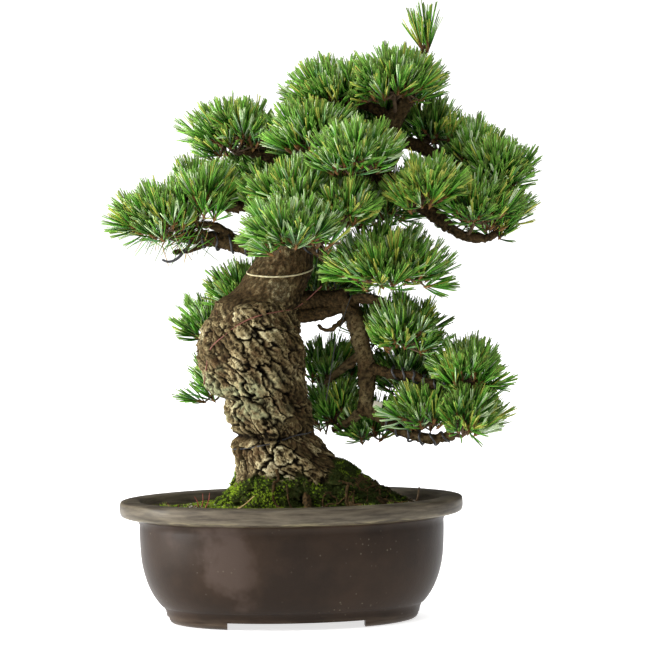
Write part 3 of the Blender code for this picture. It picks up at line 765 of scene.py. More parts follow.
oldBark = {
    "sides": 288,
    "step": 0.00105,
    "top": 0.3165,
    "collar": 0.0014,
    "collarFrom": 0.290,
    "collarWander": 0.0065,
    "collarSlope": 0.130,
    "sunk": 0.004,
    "axis": (-0.028, 0.0),
    "twist": 13.0,
    "twistFrom": 0.235,
    "plate": (0.0200, 0.0330),
    "plateLift": 0.0017,
    "plateTilt": 0.0038,
    "fissureWidth": 0.15,
    "fissureLeast": 0.0018,
    "fissureMost": 0.0050,
    "sheets": ((0.0200, 0.0310, 0.00140, (-0.22, 0.00, 0.20)), (0.0090, 0.0125, 0.00065, (-0.10, 0.18))),
    "grit": 0.00034,
    "creases": ((0.1845, 0.0026, 0.0034), (0.2205, 0.0030, 0.0022)),
    "lichenHeights": (0.186, 0.262),
    "mossTop": 0.143,
    "mossRight": 0.018,
    "mossSway": 0.012,
}

youngBark = {
    "sides": 220,
    "step": 0.0012,
    "from": 0.292,
    "pores": 0.0009,
    "waves": 0.0014,
    "sunkBelow": 0.309,
}


def mossLimit(x, swell):
    # How high the moss climbs on the root flare, higher on the right.
    height = oldBark["mossTop"] + oldBark["mossSway"] * swell
    return height + oldBark["mossRight"] * smoothStep(0.030, 0.052, x)


def blurGrid(field, rounds):
    # Evens a grid out over its neighbours, round the trunk and up it.
    for _ in range(rounds):
        field = (np.roll(field, 1, axis=1) + field + np.roll(field, -1, axis=1)) / 3.0
        padded = np.vstack([field[:1], field, field[-1:]])
        field = (padded[:-2] + padded[1:-1] + padded[2:]) / 3.0
    return field


def trunkTable(low, high, step, sides):
    # Rings of the trunk's skin between two heights of its centre line, and the way out at each point.
    fine = smoothRows(trunk["rows"], step=0.0005)
    lengths = np.concatenate([[0.0], np.cumsum(np.linalg.norm(np.diff(fine[:, :3], axis=0), axis=1))])
    start = np.interp(low, fine[:, 2], lengths)
    end = np.interp(high, fine[:, 2], lengths)
    places = np.linspace(start, end, int((end - start) / step) + 1)
    curve = np.stack([np.interp(places, lengths, fine[:, k]) for k in range(5)], axis=1)
    above = curve[:, 2] - trunk["levelBelow"]
    upright = np.clip(above / (trunk["squareAbove"] - trunk["levelBelow"]), 0.0, 1.0)
    _, side, depth = ringFrames(curve[:, :3], upright)
    angles = 2.0 * math.pi * np.arange(sides) / sides
    outward = ringWays(side, depth, angles)
    reach = np.array([[trunkReach(row, angle) for angle in angles] for row in curve])
    return curve[:, :3], outward, reach


def twisted(points):
    # The bark's grain winds round the trunk, so its patterns are read from untwisted places.
    look = oldBark
    turn = look["twist"] * (points[:, 2] - look["twistFrom"])
    x = points[:, 0] - look["axis"][0]
    y = points[:, 1] - look["axis"][1]
    across = x * np.cos(turn) - y * np.sin(turn)
    deep = x * np.sin(turn) + y * np.cos(turn)
    return np.stack([across, deep, points[:, 2]], axis=1)


def plateSeeds(points, size, rng, tries):
    # Places that keep about one plate's size between them.
    stretch = np.array([1.0 / size[0], 1.0 / size[0], 1.0 / size[1]])
    kept = np.zeros((0, 3))
    for index in rng.integers(0, len(points), tries):
        place = points[index] * stretch
        if not len(kept) or np.min(np.sum((kept - place) ** 2, axis=1)) > 0.5:
            kept = np.vstack([kept, place])
    return kept, stretch


def plateField(points, seeds, stretch):
    # For each point: how near it is to the edge of its plate, which plate it is on, and where on it.
    tree = kdtree.KDTree(len(seeds))
    for i, seed in enumerate(seeds):
        tree.insert(seed, i)
    tree.balance()
    edge = np.zeros(len(points))
    own = np.zeros(len(points), int)
    offset = np.zeros((len(points), 3))
    for i, point in enumerate(points):
        place = Vector(point)
        bent = Vector(point * stretch) + noise.noise_vector(place * 70.0) * 0.42
        bent += noise.noise_vector(place * 260.0) * 0.13
        (centre, first, near), (_, _, far) = tree.find_n(bent, 2)
        edge[i] = far - near
        own[i] = first
        offset[i] = bent - centre
    return edge, own, offset


def noiseRow(points, scale):
    return np.array([noise.noise(Vector(point) * scale) for point in points])


def fractalOf(points, scale, octaves=4):
    return np.array([noise.fractal(Vector(point) * scale, 0.8, 2.0, octaves) for point in points])


def flakySheets(grain):
    # Thin layers of bark, each ending at a ragged edge.
    total = np.zeros(len(grain))
    for across, up, thick, levels in oldBark["sheets"]:
        scaled = grain / np.array([across, across, up])
        field = np.array([noise.fractal(Vector(place), 0.9, 2.1, 4) for place in scaled])
        for level in levels:
            total += thick * smoothStep(level - 0.010, level + 0.010, field)
    return total


def buildOldBark():
    # The thick bark below the graft: leaning plates, deep fissures and layers of flakes.
    look = oldBark
    rng = np.random.default_rng(14)
    centres, outward, reach = trunkTable(trunk["rows"][0][2], look["top"], look["step"], look["sides"])
    shape = reach.shape
    height = centres[:, 2]
    collar = look["collar"] * smoothStep(look["collarFrom"], look["top"] - 0.006, height)
    curl = np.sqrt(np.clip((look["top"] - height) / 0.0035, 0.0, 1.0))
    skin = reach * (0.86 + 0.14 * curl[:, None]) + (collar * curl)[:, None]
    table = centres[:, None] + outward * skin[:, :, None]
    points = table.reshape(-1, 3)
    grain = twisted(points)
    seeds, stretch = plateSeeds(grain, look["plate"], rng, 4000)
    edge, own, offset = plateField(grain, seeds, stretch)
    lifts = rng.uniform(-1.0, 1.0, len(seeds))
    tones = rng.uniform(-1.0, 1.0, len(seeds))
    tilts = rng.uniform(-1.0, 1.0, (len(seeds), 3))
    tilts[:, 2] -= 0.6
    depth = np.clip(0.55 + 1.4 * noiseRow(points, 38.0), 0.0, 1.0)
    shadedFissure = (1.0 - smoothStep(0.0, look["fissureWidth"], edge)) * (0.25 + 0.75 * depth)
    sheets = flakySheets(grain)
    lumps = np.array([lumpAt(point) for point in points])
    relief = lumps + look["plateLift"] * lifts[own]
    relief += look["plateTilt"] * np.sum(tilts[own] * offset, axis=1)
    relief -= (look["fissureLeast"] + (look["fissureMost"] - look["fissureLeast"]) * depth) * shadedFissure
    relief += sheets - sheets.mean() + look["grit"] * fractalOf(points, 240.0)
    crease = np.zeros(len(points))
    for level, width, deep in look["creases"]:
        line = np.exp(-(((points[:, 2] - level - 0.005 * noiseRow(points, 17.0)) / width) ** 2))
        line *= np.clip(0.75 + 1.4 * noiseRow(points, 21.0) - 8.0 * (points[:, 0] + 0.03), 0.15, 1.0)
        relief -= deep * line
        crease = np.maximum(crease, line)
    relief = relief.reshape(shape)
    relief *= np.minimum(1.0, (shape[0] - 1 - np.arange(shape[0])) / 4.0)[:, None]
    # Painted shade in the relief's hollows, low-lying zones, fissures and creases, and a painted highlight on
    # its raised edges.
    smooth = blurGrid(relief, 4)
    hollow = np.clip((smooth - relief) / 0.00055, 0.0, 1.0)
    proud = np.clip((relief - smooth) / 0.00050, 0.0, 1.0)
    wide = np.clip((blurGrid(relief, 14) - relief) / 0.0013, 0.0, 1.0)
    paintedShade = np.maximum(0.90 * hollow, 0.95 * wide)
    paintedShade = np.maximum(paintedShade, shadedFissure.reshape(shape) * 1.5)
    paintedShade = np.maximum(paintedShade, 0.9 * crease.reshape(shape))
    flecked = fractalOf(grain * np.array([1.0, 1.0, 0.45]), 130.0, 3)
    broad = noiseRow(points, 34.0).reshape(shape)
    # Each plate's tone varies at random, and raised edges get a painted highlight.
    tone = 0.17 + 0.26 * tones[own].reshape(shape) + 0.38 * proud
    tone += 0.30 * flecked.reshape(shape) + 0.34 * broad
    smoothPlate = smoothStep(0.140, 0.150, points[:, 2]) * smoothStep(0.184, 0.174, points[:, 2])
    tone += 0.20 * (smoothPlate * smoothStep(0.02, -0.02, points[:, 0])).reshape(shape)
    left = smoothStep(0.015, -0.055, points[:, 0])
    swell = fractalOf(points, 40.0, 3)
    mossy = smoothStep(0.006, -0.006, points[:, 2] - mossLimit(points[:, 0], swell))
    low, high = look["lichenHeights"]
    band = smoothStep(low, low + 0.02, points[:, 2]) * smoothStep(high, high - 0.03, points[:, 2])
    lichen = band * left * smoothStep(-0.1, 0.35, swell)
    wander = look["collarWander"] * noiseRow(points * np.array([1.0, 1.0, 0.0]), 45.0).reshape(shape)
    wander -= look["collarSlope"] * np.maximum(-0.038 - points[:, 0], 0.0).reshape(shape)
    table = table + outward * relief[:, :, None]
    table[:, :, 2] += wander * smoothStep(look["collarFrom"], look["top"], height)[:, None]
    table[0, :, 2] -= look["sunk"]
    values = {
        "paintedShade": np.clip(paintedShade, 0.0, 1.0),
        "tone": np.clip(tone, 0.0, 1.0),
        "age": np.ones(shape),
        "mossy": mossy.reshape(shape) * 0.95,
        "lichen": lichen.reshape(shape),
    }
    bm = bmesh.new()
    wrapTube(bm, table, values)
    piece = finishPiece("trunkOldBark", bm, [bark], 42.0)
    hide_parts("trunk")
    return piece


def buildYoungBark():
    # The finer bark of the grafted trunk, which comes out of the old bark's collar.
    look = youngBark
    centres, outward, reach = trunkTable(look["from"], trunk["rows"][-1][2], look["step"], look["sides"])
    shape = reach.shape
    points = (centres[:, None, :] + outward * reach[:, :, None]).reshape(-1, 3)
    pores = fractalOf(points * np.array([1.0, 1.0, 0.7]), 300.0, 3)
    waves = fractalOf(points, 26.0, 3)
    slim = smoothStep(0.003, 0.026, reach.reshape(-1))
    relief = (look["pores"] * pores + look["waves"] * waves) * slim
    inside = smoothStep(look["sunkBelow"] + 0.005, look["sunkBelow"] - 0.005, points[:, 2])
    relief -= 0.003 * inside
    # Painted shade just above the graft, on the trunk's right side below the crown, and in the pores.
    nearGraft = smoothStep(0.330, 0.312, points[:, 2] + 0.006 * waves)
    shaded = smoothStep(0.008, 0.020, points[:, 0] - 0.3 * (points[:, 2] - 0.34))
    shaded *= smoothStep(0.45, 0.30, points[:, 2])
    values = {
        "paintedShade": np.clip(0.40 * nearGraft + 0.50 * shaded - 0.90 * pores - 0.05, 0.0, 0.9).reshape(shape),
        "tone": np.clip(0.40 + 0.6 * waves, 0.0, 1.0).reshape(shape),
        "age": np.clip(0.12 + 0.75 * smoothStep(0.05, 0.6, pores), 0.0, 1.0).reshape(shape),
        "mossy": np.zeros(shape),
        "lichen": np.zeros(shape),
    }
    bm = bmesh.new()
    wrapTube(bm, centres[:, None, :] + outward * (reach + relief.reshape(shape))[:, :, None], values)
    piece = finishPiece("trunkYoungBark", bm, [bark], 80.0)
    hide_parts("trunk")
    return piece


trunkPiece = buildOldBark()
youngPiece = buildYoungBark()
print("trunk")


# Each bough is (radius at its root, radius at its tip, its route).

boughs = {
    "left": (0.010, 0.0055, (
        (-0.003, 0.002, 0.368), (-0.048, -0.004, 0.374), (-0.075, -0.007, 0.378), (-0.102, -0.012, 0.382),
    )),
    "left_upper": (0.007, 0.004, (
        (0.016, 0.005, 0.403), (-0.016, -0.012, 0.409), (-0.047, -0.020, 0.412), (-0.066, -0.022, 0.415),
    )),
    "left_high": (0.007, 0.0035, (
        (0.044, 0.008, 0.425), (0.009, 0.016, 0.444), (-0.023, 0.022, 0.460), (-0.042, 0.020, 0.466),
    )),
    "front": (0.007, 0.004, ((0.010, 0.005, 0.390), (0.009, -0.035, 0.388), (0.008, -0.068, 0.384))),
    "front_centre": (0.006, 0.003, (
        (0.066, 0.008, 0.443), (0.061, -0.030, 0.448), (0.059, -0.052, 0.450),
    )),
    "top_left": (0.006, 0.003, ((0.108, 0.002, 0.493), (0.087, 0.004, 0.506), (0.067, 0.008, 0.511))),
    "right_upper": (0.010, 0.006, (
        (0.074, 0.008, 0.449), (0.095, 0.002, 0.438), (0.116, -0.008, 0.420), (0.141, -0.014, 0.403),
        (0.160, -0.015, 0.386),
    )),
    "right_thin": (0.005, 0.003, (
        (0.160, -0.015, 0.386), (0.176, -0.014, 0.377), (0.197, -0.008, 0.376), (0.210, 0.000, 0.382),
    )),
    "right_high": (0.007, 0.003, (
        (0.098, 0.005, 0.477), (0.129, 0.028, 0.468), (0.158, 0.032, 0.458), (0.185, 0.024, 0.448),
        (0.205, 0.014, 0.440),
    )),
    "mid_right": (0.007, 0.004, (
        (0.000, 0.000, 0.374), (0.028, -0.014, 0.370), (0.050, -0.034, 0.352), (0.072, -0.046, 0.338),
    )),
    "low_1": (0.012, 0.0095, ((-0.022, 0.003, 0.311), (0.020, 0.006, 0.313), (0.060, 0.000, 0.318))),
    "low_2": (0.0095, 0.007, (
        (0.058, 0.000, 0.317), (0.067, 0.000, 0.296), (0.073, 0.000, 0.267), (0.077, 0.000, 0.234),
        (0.075, 0.000, 0.209),
    )),
    "low_3": (0.007, 0.004, (
        (0.075, 0.000, 0.211), (0.091, -0.004, 0.199), (0.111, -0.010, 0.186), (0.136, -0.014, 0.178),
        (0.162, -0.016, 0.182),
    )),
    "low_c": (0.005, 0.003, (
        (0.060, 0.000, 0.316), (0.081, -0.014, 0.317), (0.099, -0.020, 0.309), (0.108, -0.021, 0.300),
    )),
    "low_e": (0.005, 0.003, (
        (0.076, 0.000, 0.249), (0.101, -0.018, 0.245), (0.121, -0.026, 0.241), (0.143, -0.030, 0.232),
        (0.170, -0.028, 0.228),
    )),
    "low_f": (0.005, 0.003, ((0.074, 0.000, 0.265), (0.052, 0.020, 0.247), (0.036, 0.034, 0.233))),
    "low_g": (0.005, 0.003, ((0.075, 0.000, 0.211), (0.059, 0.014, 0.196), (0.043, 0.026, 0.186))),
    "back_left": (0.007, 0.003, ((-0.033, 0.010, 0.290), (-0.052, 0.055, 0.279), (-0.068, 0.068, 0.272))),
    "back_mid": (0.008, 0.004, ((0.018, 0.006, 0.402), (0.026, 0.050, 0.408), (0.031, 0.088, 0.408))),
    "back_right": (0.006, 0.003, ((0.116, -0.008, 0.420), (0.142, 0.040, 0.424), (0.155, 0.070, 0.424))),
}
paleLimbs = {"low_1": 0.10, "low_2": 0.70, "low_3": 0.45, "low_f": 0.65, "low_g": 0.7, "low_c": 0.3}
boughLook = {"step": 0.0018, "sides": 26, "knob": 0.0024, "scale": 0.0015, "bend": 0.0030}


# Short stubs, forks and surface roots that have no solid of their own.
extraLimbs = {
    "fork": (0.0045, 0.0028, (
        (-0.050, -0.004, 0.375), (-0.060, -0.009, 0.386), (-0.072, -0.014, 0.392), (-0.086, -0.016, 0.393),
    )),
    "leftDark": (0.0062, 0.0034, (
        (-0.046, -0.018, 0.4105), (-0.070, -0.022, 0.411), (-0.090, -0.022, 0.4125), (-0.106, -0.020, 0.409),
    )),
    "leftHang": (0.0032, 0.0020, (
        (-0.084, -0.022, 0.411), (-0.088, -0.020, 0.399), (-0.084, -0.016, 0.388), (-0.078, -0.010, 0.380),
    )),
    "leftTwig": (0.0030, 0.0018, (
        (-0.076, -0.008, 0.378), (-0.092, -0.012, 0.370), (-0.112, -0.016, 0.366),
    )),
    "rootRight": (0.0050, 0.0018, (
        (0.070, -0.030, 0.124), (0.092, -0.036, 0.1165), (0.112, -0.040, 0.1145), (0.124, -0.041, 0.112),
    )),
    "rootFront": (0.0048, 0.0020, (
        (0.048, -0.040, 0.126), (0.062, -0.058, 0.1155), (0.080, -0.068, 0.1140), (0.096, -0.072, 0.1105),
    )),
    "rootLow": (0.0042, 0.0016, (
        (0.015, -0.050, 0.128), (0.018, -0.068, 0.116), (0.014, -0.082, 0.1125),
    )),
    "stub": (0.0035, 0.0026, ((0.072, 0.000, 0.300), (0.066, -0.010, 0.306), (0.060, -0.015, 0.309))),
    "burl": (0.0075, 0.0050, (
        (0.004, 0.000, 0.3005), (0.022, -0.002, 0.3030), (0.040, -0.002, 0.3065), (0.054, 0.000, 0.3090),
    )),
    "hook": (0.0028, 0.0014, (
        (0.060, -0.004, 0.303), (0.050, -0.010, 0.293), (0.038, -0.010, 0.288), (0.029, -0.008, 0.2925),
    )),
}


def limbCurve(root, tip, route, step):
    # A smooth limb that tapers from root to tip.
    last = len(route) - 1
    rows = [(*place, root + (tip - root) * i / last) for i, place in enumerate(route)]
    curve = smoothRows(rows, step=step)
    return curve[:, :3], curve[:, 3]


def boughTable(name, root, tip, route, rng):
    centres, radius = limbCurve(root, tip, route, boughLook["step"])
    count = len(centres)
    shift = rng.uniform(0.0, 50.0)
    for i in range(count):
        away = math.sin(math.pi * i / (count - 1))
        sway = noise.noise_vector(Vector(centres[i]) * 28.0 + Vector((shift, 0.0, 0.0)))
        centres[i] += np.array(sway) * boughLook["bend"] * away
    table, outward = roundTable(centres, radius, boughLook["sides"])
    flat = table.reshape(-1, 3)
    thick = np.repeat(radius, boughLook["sides"])
    knobs = np.maximum(noiseRow(flat + shift, 70.0), 0.0) * boughLook["knob"] * (thick / 0.007)
    scales = fractalOf(flat, 310.0, 3)
    relief = knobs + scales * boughLook["scale"]
    table = table + outward * relief.reshape(len(centres), -1)[:, :, None]
    # Painted shade in the low places between the bark's scales.
    paintedShade = np.clip(-scales * 1.6 + 0.05, 0.0, 0.85).reshape(len(centres), -1)
    tone = np.clip(0.3 + 0.5 * noiseRow(flat, 40.0), 0.0, 1.0).reshape(len(centres), -1)
    age = np.clip(paleLimbs.get(name, 0.12) + 0.25 * noiseRow(flat, 30.0), 0.0, 1.0).reshape(len(centres), -1)
    return table, {"paintedShade": paintedShade, "tone": tone, "age": age, "mossy": np.zeros_like(age)}


def buildBoughs():
    rng = random.Random("boughs")
    bm = bmesh.new()
    for name, limb in [*boughs.items(), *extraLimbs.items()]:
        wrapTube(bm, *boughTable(name, *limb, rng))
    piece = finishPiece("boughBark", bm, [bark], 75.0)
    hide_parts(*["bough_" + name for name in boughs])
    return piece


buildBoughs()
print("boughs")


def treeOf(objects):
    points = []
    faces = []
    for item in objects:
        start = len(points)
        points += [vert.co - potCentre for vert in item.data.vertices]
        faces += [tuple(start + i for i in face.vertices) for face in item.data.polygons]
    return BVHTree.FromPolygons(points, faces)


trunkTree = treeOf([trunkPiece, youngPiece])
soilTree = treeOf([soilPiece])
limbs = treeOf([node for name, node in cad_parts.items() if not name.startswith("foliage_")])

# Masses of foliage: (limb, point of its route, centre of the seats, half width, half depth, dome, tufts).

masses = {
    "left_tip": ("left", 3, (-0.117, -0.012, 0.408), 0.034, 0.030, 0.018, 7),
    "left_mid": ("left_upper", 3, (-0.079, -0.024, 0.427), 0.032, 0.024, 0.008, 6),
    "left_high": ("left_high", 3, (-0.051, 0.018, 0.483), 0.030, 0.022, 0.010, 6),
    "left_back": ("back_mid", 1, (-0.012, 0.055, 0.456), 0.036, 0.026, 0.010, 6),
    "front_low": ("front", 2, (0.009, -0.088, 0.390), 0.038, 0.026, 0.006, 7),
    "front_upper": ("front", 1, (0.005, -0.048, 0.425), 0.034, 0.020, 0.006, 6),
    "front_right": ("front", 1, (0.058, -0.058, 0.411), 0.022, 0.020, 0.006, 4),
    "front_centre": ("front_centre", 2, (0.065, -0.072, 0.463), 0.032, 0.025, 0.006, 6),
    "upper_left": ("left_high", 1, (0.023, -0.020, 0.489), 0.022, 0.022, 0.004, 5),
    "top_left": ("top_left", 2, (0.047, 0.010, 0.530), 0.034, 0.022, 0.010, 6),
    "apex": ("trunk", 26, (0.108, -0.016, 0.532), 0.024, 0.016, 0.008, 5),
    "apex_back": ("trunk", 26, (0.134, 0.024, 0.532), 0.018, 0.014, 0.006, 4),
    "leader": ("trunk", 30, (0.141, 0.000, 0.576), 0.012, 0.006, 0.000, 2),
    "right_top": ("right_high", 1, (0.145, 0.040, 0.486), 0.018, 0.018, 0.004, 3),
    "right_front": ("right_upper", 2, (0.135, -0.062, 0.427), 0.014, 0.016, 0.004, 5),
    "right_high": ("right_high", 3, (0.186, 0.040, 0.472), 0.028, 0.024, 0.008, 6),
    "right_tip": ("right_high", 4, (0.215, 0.000, 0.446), 0.012, 0.020, 0.004, 4),
    "right_mid": ("right_thin", 1, (0.186, -0.024, 0.410), 0.026, 0.024, 0.006, 6),
    "right_low": ("right_thin", 3, (0.212, 0.004, 0.393), 0.008, 0.012, 0.000, 3),
    "inner_right": ("right_upper", 1, (0.100, 0.052, 0.414), 0.020, 0.017, 0.004, 4),
    "mid_right": ("mid_right", 3, (0.097, -0.056, 0.367), 0.043, 0.026, 0.020, 9),
    "mid_low": ("low_c", 3, (0.120, -0.018, 0.294), 0.022, 0.024, 0.006, 6),
    "low_right_high": ("low_e", 4, (0.176, -0.032, 0.254), 0.015, 0.012, 0.004, 4),
    "low_right_tip": ("low_3", 4, (0.175, -0.018, 0.202), 0.018, 0.028, 0.008, 6),
    "low_mid": ("low_3", 2, (0.138, -0.008, 0.208), 0.024, 0.026, 0.006, 6),
    "low_centre": ("low_e", 1, (0.120, 0.028, 0.247), 0.022, 0.020, 0.004, 5),
    "low_left": ("low_f", 2, (0.044, 0.046, 0.208), 0.017, 0.020, 0.004, 5),
    "behind_limb": ("low_f", 1, (0.040, 0.070, 0.256), 0.016, 0.016, 0.004, 4),
    "low_under": ("low_g", 1, (0.078, 0.038, 0.190), 0.022, 0.018, 0.006, 4),
    "limb_right": ("low_2", 1, (0.093, 0.034, 0.288), 0.018, 0.016, 0.004, 4),
    "back_left_top": ("trunk", 19, (-0.051, 0.062, 0.328), 0.020, 0.018, 0.004, 4),
    "back_left_mid": ("back_left", 2, (-0.079, 0.082, 0.297), 0.012, 0.014, 0.002, 3),
    "back_left_low": ("back_left", 1, (-0.069, 0.080, 0.241), 0.014, 0.016, 0.004, 4),
    "back_low": ("trunk", 18, (0.034, 0.082, 0.336), 0.026, 0.018, 0.006, 5),
    "back_mid": ("back_mid", 2, (0.036, 0.110, 0.422), 0.034, 0.026, 0.008, 6),
    "back_high": ("trunk", 25, (0.088, 0.066, 0.501), 0.032, 0.024, 0.006, 5),
    "back_right": ("back_right", 2, (0.166, 0.092, 0.435), 0.028, 0.026, 0.006, 5),
}

# Which masses each joined piece of needles takes in.
needlePieces = {
    "needlesLeft": ("left_tip", "left_mid", "left_high", "left_back"),
    "needlesFront": ("front_low", "front_upper", "front_right", "front_centre"),
    "needlesTop": ("upper_left", "top_left", "apex", "apex_back", "leader"),
    "needlesRight": ("right_front", "right_tip", "right_mid", "right_low", "right_high"),
    "needlesMiddle": ("mid_right", "mid_low", "inner_right", "limb_right", "right_top"),
    "needlesLow": ("low_right_high", "low_right_tip", "low_mid", "low_centre", "low_left", "low_under"),
    "needlesBack": ("back_high", "back_mid", "back_right", "back_low", "behind_limb"),
    "needlesBackLeft": ("back_left_top", "back_left_mid", "back_left_low"),
}

tuft = {
    "needle": 0.0355,
    "thick": 0.00064,
    "shoot": 0.012,
    "mainFascicles": 18,
    "sideFascicles": 11,
    "sideTufts": 7,
    "sideOut": 0.0185,
    "sideRise": 0.004,
    "sideDrop": 0.015,
    "openFrom": 3.0,
    "openTo": 62.0,
    "sideOpening": 0.82,
    "spread": 1.5,
    "lift": 0.24,
    "upright": 0.35,
    "wallSlack": 0.015,
    "hullSlack": 0.004,
    "shortest": 0.55,
    "stemRoot": 0.0026,
    "stemTip": 0.0016,
    "twigRoot": 0.0015,
    "twigTip": 0.0011,
    "hubDepth": 0.009,
    "cellRise": 0.005,
    "wideBias": 0.5,
}
squeezed = {
    "leader": 0.40, "apex": 0.82, "apex_back": 0.74, "left_high": 0.88, "low_right_high": 0.90,
    "low_right_tip": 0.88,
}
sparser = {"leader": 0.50}
longer = {"leader": 1.18}

# Where a mass of the real tree stands a little off the middle of its solid.
nudges = {
    "apex": (-0.002, 0.0, 0.003), "apex_back": (-0.014, 0.0, 0.003), "leader": (0.000, 0.0, -0.008),
    "left_high": (0.006, 0.0, 0.006), "left_tip": (0.003, 0.0, 0.005), "left_mid": (-0.004, 0.0, 0.004),
    "top_left": (0.006, 0.0, -0.001), "right_high": (0.000, 0.0, -0.006), "right_tip": (-0.007, 0.0, 0.0),
    "right_low": (-0.005, 0.0, 0.004), "mid_right": (0.002, 0.0, -0.003), "mid_low": (-0.008, 0.0, -0.004),
    "low_right_high": (-0.002, 0.0, -0.003), "low_right_tip": (-0.006, 0.0, 0.009),
    "low_under": (0.0, 0.0, 0.004), "behind_limb": (0.0, 0.0, -0.010), "back_left_top": (0.012, 0.0, 0.0),
    "back_left_mid": (0.003, 0.0, -0.005), "back_left_low": (-0.004, 0.0, -0.006),
    "low_centre": (-0.006, 0.0, -0.004), "upper_left": (0.003, 0.0, -0.004),
}
looser = {"mid_right": 0.010, "left_tip": 0.004, "back_left_low": 0.006}
sideTuftsOf = {
    "leader": 1, "low_under": 4, "low_left": 4, "low_centre": 4, "behind_limb": 4, "limb_right": 4,
    "back_left_low": 4, "right_low": 4,
}

# How each mass deals out fresh, deep, blue, yellow and pale sprays. Masses on the left, at the right and low
# in the crown get more deep sprays as painted shade; the front ones and the leader get fewer.
usualMix = (0.40, 0.28, 0.10, 0.15, 0.07)
massMix = {
    "left_tip": (0.28, 0.36, 0.18, 0.11, 0.07),
    "left_mid": (0.32, 0.40, 0.10, 0.12, 0.06),
    "left_high": (0.34, 0.40, 0.08, 0.12, 0.06),
    "front_low": (0.30, 0.24, 0.30, 0.06, 0.10),
    "front_centre": (0.40, 0.24, 0.18, 0.12, 0.06),
    "right_front": (0.38, 0.22, 0.06, 0.30, 0.04),
    "leader": (0.46, 0.16, 0.10, 0.24, 0.04),
    "right_high": (0.38, 0.38, 0.06, 0.14, 0.04),
    "right_tip": (0.38, 0.40, 0.06, 0.12, 0.04),
    "right_mid": (0.36, 0.42, 0.06, 0.12, 0.04),
    "right_low": (0.36, 0.42, 0.06, 0.12, 0.04),
    "low_mid": (0.34, 0.40, 0.12, 0.10, 0.04),
    "low_right_high": (0.34, 0.38, 0.12, 0.12, 0.04),
    "low_centre": (0.28, 0.50, 0.12, 0.06, 0.04),
    "low_under": (0.24, 0.56, 0.10, 0.06, 0.04),
    "low_left": (0.28, 0.50, 0.12, 0.06, 0.04),
    "behind_limb": (0.25, 0.55, 0.10, 0.06, 0.04),
    "limb_right": (0.28, 0.50, 0.10, 0.08, 0.04),
    "inner_right": (0.25, 0.55, 0.10, 0.06, 0.04),
    "right_top": (0.30, 0.46, 0.10, 0.10, 0.04),
}


def heart(name):
    return Vector(masses[name][2]) + upwards * tuft["cellRise"]


def wallsOf(name):
    # Flat walls towards every other mass, which wider masses push away from themselves.
    own = heart(name)
    reach = max(masses[name][3:5]) ** 2
    normals = []
    distances = []
    for other in masses:
        if other != name:
            apart = heart(other) - own
            lead = tuft["wideBias"] * (reach - max(masses[other][3:5]) ** 2) / (2.0 * apart.length)
            normal = apart.normalized()
            normals.append(normal)
            distances.append(normal.dot(own + heart(other)) / 2.0 + lead)
    ways, reaches = hullOf(name)
    return np.vstack([asArray(normals), ways]), np.concatenate([distances, reaches])


def hullOf(name):
    # How far the mass's solid reaches in directions all round it.
    bm = bmesh.new()
    bmesh.ops.create_icosphere(bm, subdivisions=2, radius=1.0)
    ways = asArray([vert.co for vert in bm.verts])
    bm.free()
    solid = asArray([vert.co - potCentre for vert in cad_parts["foliage_" + name].data.vertices])
    slack = looser.get(name, tuft["hullSlack"]) - tuft["wallSlack"]
    return ways, (solid @ ways.T).max(axis=0) + slack


def seatsOf(name):
    # Places and directions of the tufts: upright in the middle, leaning out at the edge.
    _, _, centre, halfWidth, halfDepth, dome, count = masses[name]
    rng = random.Random(name)
    start = rng.uniform(0.0, 2.0 * math.pi)
    seats = []
    for i in range(count):
        ring = math.sqrt((i + 0.5) / count)
        angle = start + i * goldenTurn + rng.uniform(-0.2, 0.2)
        across = ring * math.cos(angle)
        deep = ring * math.sin(angle)
        lift = rng.uniform(-0.003, 0.003) - dome * ring * ring
        nudge = Vector(nudges.get(name, (0.0, 0.0, 0.0)))
        place = Vector(centre) + nudge + Vector((across * halfWidth, deep * halfDepth, lift))
        lean = Vector((rng.uniform(-0.15, 0.15), rng.uniform(-0.15, 0.15), 0.0))
        aim = (Vector((across * 1.1, deep * 1.1, 1.0)) + lean).normalized()
        seats.append((place, aim))
    return seats


def hubOf(name):
    return Vector(masses[name][2]) - upwards * (masses[name][5] + tuft["hubDepth"])


def rootOf(name):
    limb, point = masses[name][:2]
    route = [row[:3] for row in trunk["rows"]] if limb == "trunk" else boughs[limb][2]
    return Vector(route[point])


def twigRows(start, end, root, tip, bow):
    middle = (start + end) / 2.0 + bow
    return [(*start, root), (*middle, (root + tip) / 2.0), (*end, tip)]


